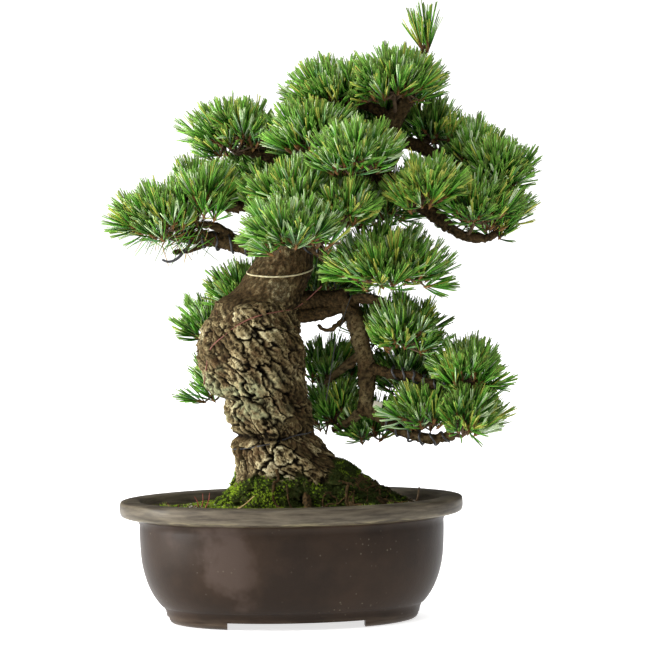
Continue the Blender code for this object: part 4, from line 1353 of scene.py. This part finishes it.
def tuftsOf(name, rng):
    # Each seat bears a main tuft and smaller ones round it, on twigs from the stem.
    root = rootOf(name)
    hub = hubOf(name)
    grown = longer.get(name, 1.0)
    filled = sparser.get(name, 1.0)
    tufts = []
    twigs = [twigRows(root, hub, tuft["stemRoot"], tuft["stemTip"], Vector((0.0, 0.0, -0.003)))]
    for place, aim in seatsOf(name):
        aim = (aim + upwards * tuft["upright"]).normalized()
        leaves = hub + (root - hub) * 0.4 * rng.random()
        if (place - leaves).normalized().dot(aim) < 0.4:
            leaves = hub
        tufts.append((place, aim, grown, int(tuft["mainFascicles"] * filled)))
        bow = Vector((0.0, 0.0, -0.25)) * (place - leaves).length * 0.4
        twigs.append(twigRows(leaves, place, tuft["twigRoot"], tuft["twigTip"], bow))
        bearing = rng.uniform(0.0, 2.0 * math.pi)
        side = aim.orthogonal().normalized()
        sideCount = sideTuftsOf.get(name, tuft["sideTufts"])
        for k in range(sideCount):
            turn = bearing + 2.0 * math.pi * (k + rng.uniform(-0.2, 0.2)) / sideCount
            out = Matrix.Rotation(turn, 3, aim) @ side
            rise = rng.uniform(-tuft["sideDrop"], tuft["sideRise"])
            spot = place + out * tuft["sideOut"] * rng.uniform(0.55, 1.2) + aim * rise
            lean = (aim + out * rng.uniform(0.25, 1.15)).normalized()
            size = grown * rng.uniform(0.74, 0.98)
            tufts.append((spot, lean, size, int(tuft["sideFascicles"] * filled)))
            start = place - aim * 0.012
            sag = Vector((0.0, 0.0, -0.001))
            twigs.append(twigRows(start, spot - lean * 0.008, tuft["twigTip"], 0.0009, sag))
    return tufts, twigs


def fasciclesOf(tufts, squeeze, rng):
    # Base, direction, bend, length, tuft number and bundle number of every needle in these tufts.
    bases, ways, bends, lengths, sprays, bundles = [], [], [], [], [], []
    for number, (place, aim, size, count) in enumerate(tufts):
        axis = np.array(aim)
        side = np.array(aim.orthogonal().normalized())
        other = np.cross(axis, side)
        share = (np.arange(count) + 0.5) / count
        opening = np.radians(tuft["openFrom"] + (tuft["openTo"] - tuft["openFrom"]) * share ** 1.1)
        opening = (opening + rng.normal(0.0, 0.06, count)) * squeeze
        if size < 1.0:
            opening *= tuft["sideOpening"]
        bearing = np.arange(count) * goldenTurn + rng.uniform(0.0, 6.28) + rng.normal(0.0, 0.12, count)
        flat = side * np.cos(bearing)[:, None] + other * np.sin(bearing)[:, None]
        bundle = axis * np.cos(opening)[:, None] + flat * np.sin(opening)[:, None]
        base = np.array(place) - axis * (share * tuft["shoot"] * size)[:, None]
        curl = rng.normal(0.0, 0.035, (count, 3))
        for j in range(5):
            turn = 2.0 * math.pi * j / 5.0 + rng.uniform(0.0, 6.28, count)
            lean = np.radians(tuft["spread"]) * rng.uniform(0.3, 1.4, count)
            across = unit(np.cross(bundle, axis + flat * 0.3))
            second = np.cross(bundle, across)
            off = across * np.cos(turn)[:, None] + second * np.sin(turn)[:, None]
            way = unit(bundle + off * np.tan(lean)[:, None])
            rise = axis - way * (way @ axis)[:, None]
            bend = rise * (tuft["lift"] * np.sin(opening))[:, None] + off * 0.03 + curl
            bases.append(base)
            ways.append(way)
            bends.append(bend + rng.normal(0.0, 0.006, (count, 3)))
            lengths.append(tuft["needle"] * size * rng.uniform(0.86, 1.05, count) * (1.0 - 0.10 * share))
            sprays.append(np.full(count, number))
            bundles.append(number * tuft["mainFascicles"] + np.arange(count))
    return [np.concatenate(part) for part in (bases, ways, bends, lengths, sprays, bundles)]


def keepWithin(bases, ways, bends, lengths, walls):
    # Needles are shortened at the mass's walls, and dropped where little is left or where they meet a limb.
    normals, distances = walls
    tips = bases + (ways + bends) * lengths[:, None]
    ahead = (tips - bases) @ normals.T
    room = distances[None, :] + tuft["wallSlack"] - bases @ normals.T
    share = np.where(ahead > 1e-6, room / np.maximum(ahead, 1e-6), 9.0).min(axis=1)
    kept = share > tuft["shortest"]
    lengths = lengths * np.clip(share, 0.0, 1.0)
    for i in np.nonzero(kept)[0]:
        way = Vector(ways[i])
        start = Vector(bases[i]) + way * 0.004
        if limbs.ray_cast(start, (way + Vector(bends[i])).normalized(), lengths[i])[0] is not None:
            kept[i] = False
    return kept, lengths


needleRings = ((0.0, 0.8), (0.55, 1.05), (1.0, 0.7))


def needleMesh(name, bases, ways, bends, lengths, kinds, thick=None):
    # Slim three-sided needles with blunt tips.
    count = len(bases)
    rng = np.random.default_rng(zlib.crc32(name.encode()))
    across = unit(np.cross(ways, unit(rng.normal(size=(count, 3)))))
    second = np.cross(ways, across)
    thick = (thick or tuft["thick"]) * rng.uniform(0.85, 1.15, count)
    points = np.zeros((count, 9, 3))
    along = np.zeros((count, 9))
    for ring, (share, girth) in enumerate(needleRings):
        centre = bases + ways * (lengths * share)[:, None] + bends * (lengths * share**2)[:, None]
        for k in range(3):
            angle = 2.0 * math.pi * k / 3.0
            out = across * math.cos(angle) + second * math.sin(angle)
            points[:, ring * 3 + k] = centre + out * (thick * girth)[:, None]
            along[:, ring * 3 + k] = share
    faces = [(2, 1, 0)]
    sideOf = [0]
    for ring in range(2):
        for k in range(3):
            low, high = ring * 3, ring * 3 + 3
            faces.append((low + k, low + (k + 1) % 3, high + (k + 1) % 3, high + k))
            sideOf.append(k)
    faces.append((6, 7, 8))
    sideOf.append(0)
    corners = np.concatenate([np.array(face) for face in faces])
    counts = np.array([len(face) for face in faces])
    offsets = np.arange(count) * 9
    # The second side of each needle takes a darker colour as painted shade.
    sides = np.array([[needleOrder.index(name) for name in needleSides[kind]] for kind in needleOrder])
    materialIndex = sides[kinds][:, sideOf]
    mesh = meshFromArrays(
        name, points.reshape(-1, 3), (offsets[:, None] + corners[None, :]).ravel(),
        np.tile(counts, count), materialIndex.ravel(),
    )
    layer = mesh.attributes.new("along", "FLOAT", "POINT")
    layer.data.foreach_set("value", along.ravel().astype(np.float32))
    return mesh


def dealKinds(name, sprays, bundles, rng):
    # Most needles have their bundle's colour, and a third of the bundles their tuft's.
    mix = np.array(massMix.get(name, usualMix))
    tuftColour = rng.choice(5, size=sprays.max() + 1, p=mix)
    bundleColour = rng.choice(5, size=bundles.max() + 1, p=mix)
    like = rng.random(bundles.max() + 1) < 0.34
    kinds = np.where(like[bundles], tuftColour[sprays], bundleColour[bundles])
    odd = rng.random(len(kinds)) < 0.14
    return np.where(odd, rng.choice(5, size=len(kinds), p=mix), kinds)


allTwigs = []
allTufts = []
needleCount = 0
for pieceName, members in needlePieces.items():
    parts = []
    for name in members:
        tufts, twigs = tuftsOf(name, random.Random(name + " tufts"))
        rng = np.random.default_rng(zlib.crc32((name + " needles").encode()))
        bases, ways, bends, lengths, sprays, bundles = fasciclesOf(tufts, squeezed.get(name, 1.0), rng)
        kinds = dealKinds(name, sprays, bundles, rng)
        kept, lengths = keepWithin(bases, ways, bends, lengths, wallsOf(name))
        parts.append([part[kept] for part in (bases, ways, bends, lengths, kinds)])
        used = np.bincount(sprays[kept], minlength=len(tufts))
        allTufts += [item for item, seen in zip(tufts, used) if seen > 12]
        allTwigs += twigs
    joined = [np.concatenate(column) for column in zip(*parts)]
    mesh = needleMesh(pieceName, *joined)
    piece = finishMesh(pieceName, mesh, needleMaterials)
    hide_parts(*["foliage_" + name for name in members])
    needleCount += len(joined[0])
    print(pieceName, len(joined[0]), "needles")
print("needles", needleCount)


def buildTwigs():
    bm = bmesh.new()
    for rows in allTwigs:
        curve = smoothRows(rows, step=0.007)
        swell = 1.0 + 0.2 * noiseRow(curve[:, :3], 300.0)
        wrapTube(bm, roundTable(curve[:, :3], curve[:, 3] * swell, 6)[0])
    return finishPiece("twigs", bm, [finish["twigBark"]], 70.0)


def buildShoots():
    # The short scaly shoot and bud that each tuft's needles stand on.
    bm = bmesh.new()
    bmesh.ops.create_icosphere(bm, subdivisions=1, radius=0.0017)
    bmesh.ops.scale(bm, vec=(1.0, 1.0, 4.2), verts=bm.verts)
    template = templateOf(bm)
    places = asArray([place - aim * tuft["shoot"] * 0.45 * size for place, aim, size, _ in allTufts])
    aims = asArray([aim for _, aim, _, _ in allTufts])
    rng = np.random.default_rng(5)
    turns = turnsAlong(aims, rng.uniform(0.0, 6.28, len(aims)), rng.uniform(0.85, 1.15, len(aims)))
    mesh = stampMany("shoots", template, turns, places, np.zeros(len(aims), int))
    return finishMesh("shoots", mesh, [finish["brownBuds"]], 60.0)


buildTwigs()
buildShoots()
print("twigs and shoots")


# Moss, crumbs and litter on the soil.

ground = {
    "mossOnSoil": 5200,
    "mossOnTrunk": 5200,
    "weeds": 170,
    "crumbs": 3800,
}


def dropOn(tree, x, y, top=0.30):
    hit, normal, _, _ = tree.ray_cast(Vector((x, y, top)), Vector((0.0, 0.0, -1.0)))
    return hit, normal


def mossTemplate():
    # Five short leaves that lean out from one root.
    bm = bmesh.new()
    for k in range(5):
        cone = bmesh.ops.create_cone(
            bm, cap_ends=False, segments=3, radius1=0.00042, radius2=0.0, depth=0.0026)["verts"]
        lean = Matrix.Rotation(math.radians(12.0 if k == 4 else 38.0), 4, "X")
        turn = Matrix.Rotation(2.0 * math.pi * k / 4.0, 4, "Z")
        bmesh.ops.transform(bm, matrix=turn @ lean @ Matrix.Translation((0.0, 0.0, 0.0011)), verts=cone)
    bmesh.ops.remove_doubles(bm, verts=bm.verts, dist=1e-6)
    return templateOf(bm)


def onPotSoil(rng):
    angle = rng.uniform(0.0, 2.0 * math.pi)
    ring = math.sqrt(rng.random())
    spot = ovalPoint(angle, 0.0, 0.0)
    share = (pot["halfDepth"] - 0.0285) / pot["halfDepth"]
    return spot.x * ring * share, spot.y * ring * share


def buildMoss():
    rng = random.Random("moss")
    places, ways, kinds, sizes = [], [], [], []
    while len(places) < ground["mossOnSoil"]:
        x, y = onPotSoil(rng)
        patch = noise.noise(Vector((x * 26, y * 26, 7.0))) + (0.30 if x < 0.02 else -0.34)
        if rng.random() > 0.25 + 1.4 * patch:
            continue
        hit, normal = dropOn(soilTree, x, y)
        if hit is None:
            continue
        places.append(hit)
        lean = Vector((rng.uniform(-0.4, 0.4), rng.uniform(-0.4, 0.4), 0.4))
        ways.append((normal + lean).normalized())
        bright = noise.noise(Vector((x * 60, y * 60, 2.0))) + rng.uniform(-0.60, 0.60)
        bright += 0.16 if x < -0.005 else -0.25
        kinds.append(0 if bright > 0.12 else 1 if bright > -0.2 else 2 if rng.random() < 0.8 else 3)
        sizes.append(rng.uniform(0.6, 1.25))
    trunkMesh = trunkPiece.data
    low = [face for face in trunkMesh.polygons if face.center.z < 0.172]
    while len(places) < ground["mossOnSoil"] + ground["mossOnTrunk"]:
        face = rng.choice(low)
        spot = face.center - potCentre
        if spot.z > mossLimit(spot.x, noise.noise(spot * 40.0)) or face.normal.z < -0.1:
            continue
        places.append(spot)
        lean = Vector((rng.uniform(-0.5, 0.5), rng.uniform(-0.5, 0.5), 0.5))
        ways.append((face.normal + lean).normalized())
        bright = noise.noise(spot * 60.0) + rng.uniform(-0.55, 0.55)
        bright += 0.22 if spot.x < -0.012 else -0.48
        kinds.append(0 if bright > 0.10 else 1 if bright > -0.2 else 2)
        sizes.append(rng.uniform(0.6, 1.2))
    for _ in range(ground["weeds"]):
        # Small plants, most of them along the left front of the rim.
        angle = math.radians(rng.triangular(150.0, 330.0, 235.0))
        spot = ovalPoint(angle, rng.uniform(0.031, 0.048), 0.0)
        hit, _ = dropOn(soilTree, spot.x, spot.y)
        places.append(hit + upwards * 0.0012)
        ways.append(Vector((rng.uniform(-0.5, 0.5), rng.uniform(-0.5, 0.5), 1.0)).normalized())
        kinds.append(rng.choice((0, 1, 3, 3)))
        sizes.append(rng.uniform(1.8, 3.2))
    turner = np.random.default_rng(3)
    turns = turnsAlong(asArray(ways), turner.uniform(0.0, 6.28, len(places)), np.array(sizes))
    mesh = stampMany("moss", mossTemplate(), turns, asArray(places), np.array(kinds))
    tones = [finish[name] for name in ("brightMoss", "midMoss", "darkMoss", "yellowMoss")]
    return finishMesh("moss", mesh, tones)


def buildCrumbs():
    rng = random.Random("crumbs")
    bm = bmesh.new()
    bmesh.ops.create_icosphere(bm, subdivisions=1, radius=0.0012)
    for vert in bm.verts:
        vert.co *= rng.uniform(0.75, 1.2)
    places, kinds, sizes = [], [], []
    while len(places) < ground["crumbs"]:
        x, y = onPotSoil(rng)
        hit, _ = dropOn(soilTree, x, y)
        if hit is None:
            continue
        places.append(hit + upwards * 0.0003)
        kinds.append(rng.choice((0, 0, 0, 1, 1, 2)))
        sizes.append(rng.uniform(0.5, 1.5))
    turner = np.random.default_rng(4)
    ways = unit(turner.normal(size=(len(places), 3)))
    turns = turnsAlong(ways, turner.uniform(0.0, 6.28, len(places)), np.array(sizes))
    mesh = stampMany("soilCrumbs", templateOf(bm), turns, asArray(places), np.array(kinds))
    tones = [finish[name] for name in ("darkCrumb", "tanCrumb", "paleCrumb")]
    return finishMesh("soilCrumbs", mesh, tones)


surfaceRoots = {
    "bearings": (
        -112.0, -88.0, -74.0, -62.0, -56.0, -48.0, -42.0, -37.0, -33.0, -27.0, -22.0, -17.0, -12.0, -7.0,
        -2.0, 5.0, 12.0, 30.0, 55.0, 80.0, 120.0,
    ),
    "from": 0.056,
    "to": (0.074, 0.118),
    "thick": (0.0009, 0.0020),
    "wander": 0.85,
    "steps": 18,
}


def buildRoots():
    # Thin roots that creep down over the flare and out across the soil.
    rng = random.Random("roots")
    under = treeOf([trunkPiece, soilPiece])
    footX = trunk["rows"][0][0]
    bm = bmesh.new()
    for bearing in surfaceRoots["bearings"]:
        end = rng.uniform(*surfaceRoots["to"])
        thick = rng.uniform(*surfaceRoots["thick"])
        shift = rng.uniform(0.0, 90.0)
        rows = []
        for i in range(surfaceRoots["steps"]):
            share = i / (surfaceRoots["steps"] - 1)
            away = surfaceRoots["from"] + (end - surfaceRoots["from"]) * share
            sway = noise.noise(Vector((share * 2.5, shift, 0.0)))
            angle = math.radians(bearing) + surfaceRoots["wander"] * sway
            x, y = footX + away * math.cos(angle), away * math.sin(angle)
            if math.hypot(x / soil["halfLength"], y / soil["halfDepth"]) > 0.95:
                break
            hit, _ = dropOn(under, x, y, 0.175)
            if hit is None:
                break
            girth = thick * (1.0 - 0.6 * share)
            lift = 0.4 * girth * (1.0 + 1.5 * noise.noise(Vector((share * 6.0, shift, 5.0))))
            rows.append((*(hit + upwards * lift), girth))
        if len(rows) > 4:
            curve = smoothRows(rows, step=0.003)
            knotty = 1.0 + 0.35 * noiseRow(curve[:, :3], 260.0)
            wrapTube(bm, roundTable(curve[:, :3], curve[:, 3] * knotty, 9)[0])
    return finishPiece("surfaceRoots", bm, [bark], 70.0)


buildMoss()
buildCrumbs()
buildRoots()
print("moss, crumbs and roots")


litter = {
    "hanging": (
        (-0.112, 0.388, 30), (-0.098, 0.384, 26), (-0.128, 0.390, 26), (-0.088, 0.386, 16),
        (-0.096, 0.400, 34),
        (-0.086, 0.396, 20),
    ),
    "fallen": 120,
    "thick": 0.00045,
}


def buildOldNeedles():
    # Old needles: hanging under the left pad, and dead ones lying on the moss.
    rng = np.random.default_rng(21)
    bases, ways, lengths, kinds = [], [], [], []
    deep, blue, dry = (needleOrder.index(name) for name in ("deep", "blue", "dry"))
    for x, z, count in litter["hanging"]:
        for _ in range(count):
            off = rng.normal(0.0, (0.007, 0.010, 0.004))
            bases.append((x + off[0], off[1] - 0.014, z + off[2]))
            ways.append((rng.normal(-0.35, 0.5), rng.normal(0, 0.4), rng.normal(-0.45, 0.30)))
            lengths.append(rng.uniform(0.020, 0.032))
            kinds.append(rng.choice([deep, deep, blue, dry]))
    for _ in range(litter["fallen"]):
        x = rng.uniform(-0.07, 0.12)
        y = rng.uniform(-0.095, 0.08)
        hit, _ = dropOn(soilTree, x, y)
        turn = rng.uniform(0.0, 6.28)
        end, _ = dropOn(soilTree, x + 0.025 * math.cos(turn), y + 0.025 * math.sin(turn))
        if hit is None or end is None:
            continue
        if dropOn(trunkTree, x, y)[0] or dropOn(trunkTree, end.x, end.y)[0]:
            continue
        bases.append(hit + upwards * 0.0018)
        ways.append(end - hit)
        lengths.append(rng.uniform(0.018, 0.028))
        kinds.append(dry)
    bends = rng.normal(0.0, 0.06, (len(bases), 3))
    parts = (np.array(bases), unit(np.array(ways)), bends, np.array(lengths), np.array(kinds))
    mesh = needleMesh("oldNeedles", *parts, litter["thick"])
    return finishMesh("oldNeedles", mesh, needleMaterials)


def tubeAlong(name, route, radius, look, taper=1.0, steps=6):
    # A wire, tie or stalk along a smooth route.
    curve = bpy.data.curves.new(name, "CURVE")
    curve.dimensions = "3D"
    curve.bevel_depth = radius
    curve.bevel_resolution = 2
    curve.use_fill_caps = True
    curve.resolution_u = steps
    spline = curve.splines.new("BEZIER")
    spline.bezier_points.add(len(route) - 1)
    for i, (knot, place) in enumerate(zip(spline.bezier_points, route)):
        knot.co = place
        knot.radius = 1.0 + (taper - 1.0) * i / (len(route) - 1)
        knot.handle_left_type = "AUTO"
        knot.handle_right_type = "AUTO"
    guide = bpy.data.objects.new(name, curve)
    bpy.context.scene.collection.objects.link(guide)
    bpy.context.view_layer.update()
    mesh = bpy.data.meshes.new_from_object(guide.evaluated_get(bpy.context.evaluated_depsgraph_get()))
    bpy.data.objects.remove(guide, do_unlink=True)
    mesh.materials.clear()
    bm = bmesh.new()
    bm.from_mesh(mesh)
    bmesh.ops.remove_doubles(bm, verts=bm.verts, dist=1e-6)
    bmesh.ops.recalc_face_normals(bm, faces=bm.faces)
    return finishPiece(name, bm, [finish[look]], 60.0)


def onTrunk(x, z, proud):
    # The point of the trunk's front at this place of the front view, stood out by proud.
    hit, normal, _, _ = trunkTree.ray_cast(Vector((x, -0.3, z)), Vector((0.0, 1.0, 0.0)))
    return None if hit is None else hit + Vector((0.0, -1.0, 0.0)) * proud


def aroundTrunk(height, tilt, proud, sag=0.0):
    # A loop that lies against the trunk at this height.
    count = 28
    middle = smoothRows(trunk["rows"], step=0.002)
    centre = middle[np.argmin(np.abs(middle[:, 2] - height))][:3]
    route = []
    for k in range(count + 1):
        angle = 2.0 * math.pi * k / count
        way = Vector((math.cos(angle), math.sin(angle), 0.0))
        level = height + tilt * math.cos(angle) - sag * max(-math.sin(angle), 0.0)
        start = Vector((centre[0], centre[1], level)) + way * 0.12
        hit, _, _, _ = trunkTree.ray_cast(start, -way)
        route.append((hit if hit is not None else start) + way * proud)
    return route


details = {
    "raffia": (0.3475, 0.0010, 0.0008, 0.0065),
    "waistWire": (0.1795, 0.0085, 0.0008),
    "rustyWire": (
        (-0.084, 0.236), (-0.081, 0.253), (-0.076, 0.272), (-0.063, 0.284), (-0.048, 0.295), (-0.030, 0.303),
        (-0.006, 0.3075), (0.010, 0.311), (0.024, 0.319),
    ),
    "rustyWireEnd": (0.034, -0.012, 0.331),
    "coils": (
        ("leftCoil", "left", 0.0012, 5.0, 0.30, 1.0),
        ("midCoil", "mid_right", 0.0012, 4.0, 0.15, 0.98),
        ("lowCoil", "low_3", 0.0011, 6.0, 0.25, 1.0),
        ("thinCoil", "low_e", 0.0012, 7.0, 0.30, 1.0),
    ),
    "curledWireEnd": (
        (-0.095, -0.020, 0.374), (-0.102, -0.024, 0.366), (-0.108, -0.026, 0.360), (-0.116, -0.026, 0.3575),
        (-0.122, -0.025, 0.3595),
    ),
    "guyWire": (
        (0.063, -0.010, 0.322), (0.055, -0.014, 0.300), (0.046, -0.018, 0.272), (0.040, -0.019, 0.240),
        (0.036, -0.018, 0.218),
    ),
    "sprouts": (
        (-0.088, -0.030, 0.10, 0.014), (-0.084, -0.032, 0.30, 0.015), (-0.091, -0.028, -0.35, 0.011),
        (-0.112, -0.045, 0.2, 0.010), (-0.120, -0.020, -0.2, 0.009),
    ),
    "straw": ((-0.062, -0.072), ((0.0, 0.0, 0.001), (0.014, 0.004, 0.006), (0.027, 0.010, 0.016))),
    "bareTwig": ((0.120, -0.030), ((0.0, 0.0, -0.002), (0.004, 0.0, 0.008), (0.006, 0.001, 0.019))),
    "tag": ((0.087, -0.013, 0.213), (0.009, 0.0006, 0.006)),
}


def coilOn(name, limb, radius, turnCount, start, end):
    # Black training wire wound round a bough.
    centres, girth = limbCurve(*boughs[limb], 0.0022)
    _, side, depth = ringFrames(centres)
    knots = int(turnCount * 8)
    path = []
    for k in range(knots + 1):
        share = start + (end - start) * k / knots
        i = min(int(share * (len(centres) - 1)), len(centres) - 1)
        angle = 2.0 * math.pi * turnCount * k / knots
        out = side[i] * math.cos(angle) + depth[i] * math.sin(angle)
        path.append(Vector(centres[i] + out * (girth[i] + radius * 1.2)))
    return tubeAlong(name, path, radius, "blackWire", steps=4)


def onSoil(spot, route):
    # A route that starts from the soil under this spot.
    foot, _ = dropOn(soilTree, *spot)
    return [foot + Vector(off) for off in route]


def buildDetails():
    tubeAlong("raffiaTie", aroundTrunk(*details["raffia"]), 0.00075, "raffia")
    tubeAlong("waistWire", aroundTrunk(*details["waistWire"]), 0.0007, "blackWire")
    route = [onTrunk(x, z, 0.0008) for x, z in details["rustyWire"]]
    route = [place for place in route if place is not None]
    route.append(Vector(details["rustyWireEnd"]))
    tubeAlong("rustyWire", route, 0.0006, "rustyWire")
    for coil in details["coils"]:
        coilOn(*coil)
    tubeAlong("curledWireEnd", details["curledWireEnd"], 0.0017, "blackWire", 0.7)
    tubeAlong("guyWire", details["guyWire"], 0.00045, "blackWire")
    for i, (x, y, lean, tall) in enumerate(details["sprouts"]):
        offs = ((0.0, 0.0, 0.0), (lean * tall / 2.0 + 0.001, 0.0, tall / 2.0), (lean * tall, 0.0, tall))
        tubeAlong(f"redSprout{i}", onSoil((x, y), offs), 0.0006, "redSprout", 0.35)
    tubeAlong("straw", onSoil(*details["straw"]), 0.0007, "straw", 0.7)
    tubeAlong("bareTwig", onSoil(*details["bareTwig"]), 0.0014, "twigBark", 0.6)
    place, size = details["tag"]
    bm = bmesh.new()
    bmesh.ops.create_cube(bm, size=1.0)
    bmesh.ops.scale(bm, vec=size, verts=bm.verts)
    bmesh.ops.rotate(bm, matrix=Matrix.Rotation(0.3, 3, "Y"), verts=bm.verts)
    bmesh.ops.translate(bm, vec=place, verts=bm.verts)
    edges = list(bm.edges)
    bmesh.ops.bevel(bm, geom=edges, offset=0.0002, segments=2, profile=0.5, affect="EDGES", material=-1)
    finishPiece("paleTag", bm, [finish["paleTag"]], 40.0)


buildOldNeedles()
buildDetails()
print("details")


# Floor and light.

studio = {
    "floor": 12.0,
    "floorGlow": 0.70,
    "surroundings": 0.21,
    "mirrored": 0.06,
    "backdrop": 1.25,
    "skylight": 3.0,
    "skylightSpread": math.radians(75.0),
    "lights": (
        ("key", (-2.1, -0.8, 1.2), 1.4, 27.0),
        ("side", (-2.2, -0.5, 0.35), 1.2, 78.0),
        ("front", (-0.6, -2.2, 1.9), 1.2, 17.0),
    ),
    "aim": (0.03, 0.0, 0.3),
}


def addLight(name, place, size, power, target):
    light = bpy.data.lights.new(name, "AREA")
    light.shape = "DISK"
    light.size = size
    light.energy = power
    holder = bpy.data.objects.new(name, light)
    bpy.context.scene.collection.objects.link(holder)
    spot = potCentre + Vector(place)
    aim = (potCentre + Vector(target) - spot).to_track_quat("-Z", "Y").to_matrix().to_4x4()
    holder.matrix_world = Matrix.Translation(spot) @ aim


def addSkylight():
    # Wide soft light from straight above, which whitens the floor evenly.
    light = bpy.data.lights.new("skylight", "SUN")
    light.energy = studio["skylight"]
    light.angle = studio["skylightSpread"]
    holder = bpy.data.objects.new("skylight", light)
    bpy.context.scene.collection.objects.link(holder)


def buildStudio():
    bm = bmesh.new()
    bmesh.ops.create_grid(bm, x_segments=1, y_segments=1, size=studio["floor"])
    mesh = bpy.data.meshes.new("floor")
    bm.to_mesh(mesh)
    bm.free()
    floor = bpy.data.objects.new("floor", mesh)
    bpy.context.scene.collection.objects.link(floor)
    material = bpy.data.materials.new("paleFloor")
    material.use_nodes = True
    shader = material.node_tree.nodes["Principled BSDF"]
    shader.inputs["Base Color"].default_value = (0.80, 0.80, 0.80, 1.0)
    shader.inputs["Roughness"].default_value = 0.95
    shader.inputs["Specular IOR Level"].default_value = 0.1
    shader.inputs["Emission Color"].default_value = (1.0, 1.0, 1.0, 1.0)
    shader.inputs["Emission Strength"].default_value = studio["floorGlow"]
    mesh.materials.append(material)
    world = bpy.data.worlds.new("studio")
    world.use_nodes = True
    addSkylight()
    # A white backdrop behind the tree, and dimmer surroundings that light it and show in its gloss.
    paths = addNode(world.node_tree, "ShaderNodeLightPath")
    strength = addNode(world.node_tree, "ShaderNodeMapRange", {
        "Value": paths.outputs["Is Glossy Ray"],
        "To Min": studio["surroundings"], "To Max": studio["mirrored"],
    }).outputs["Result"]
    strength = addNode(world.node_tree, "ShaderNodeMix", {
        0: paths.outputs["Is Camera Ray"], 2: strength, 3: studio["backdrop"],
    }, data_type="FLOAT").outputs[0]
    backdrop = world.node_tree.nodes["Background"]
    backdrop.inputs["Color"].default_value = (1.0, 1.0, 1.0, 1.0)
    world.node_tree.links.new(strength, backdrop.inputs["Strength"])
    bpy.context.scene.world = world
    for name, place, size, power in studio["lights"]:
        addLight(name, place, size, power, studio["aim"])
    bpy.context.scene.view_settings.view_transform = "Standard"


addCamera()
buildStudio()
print("studio")
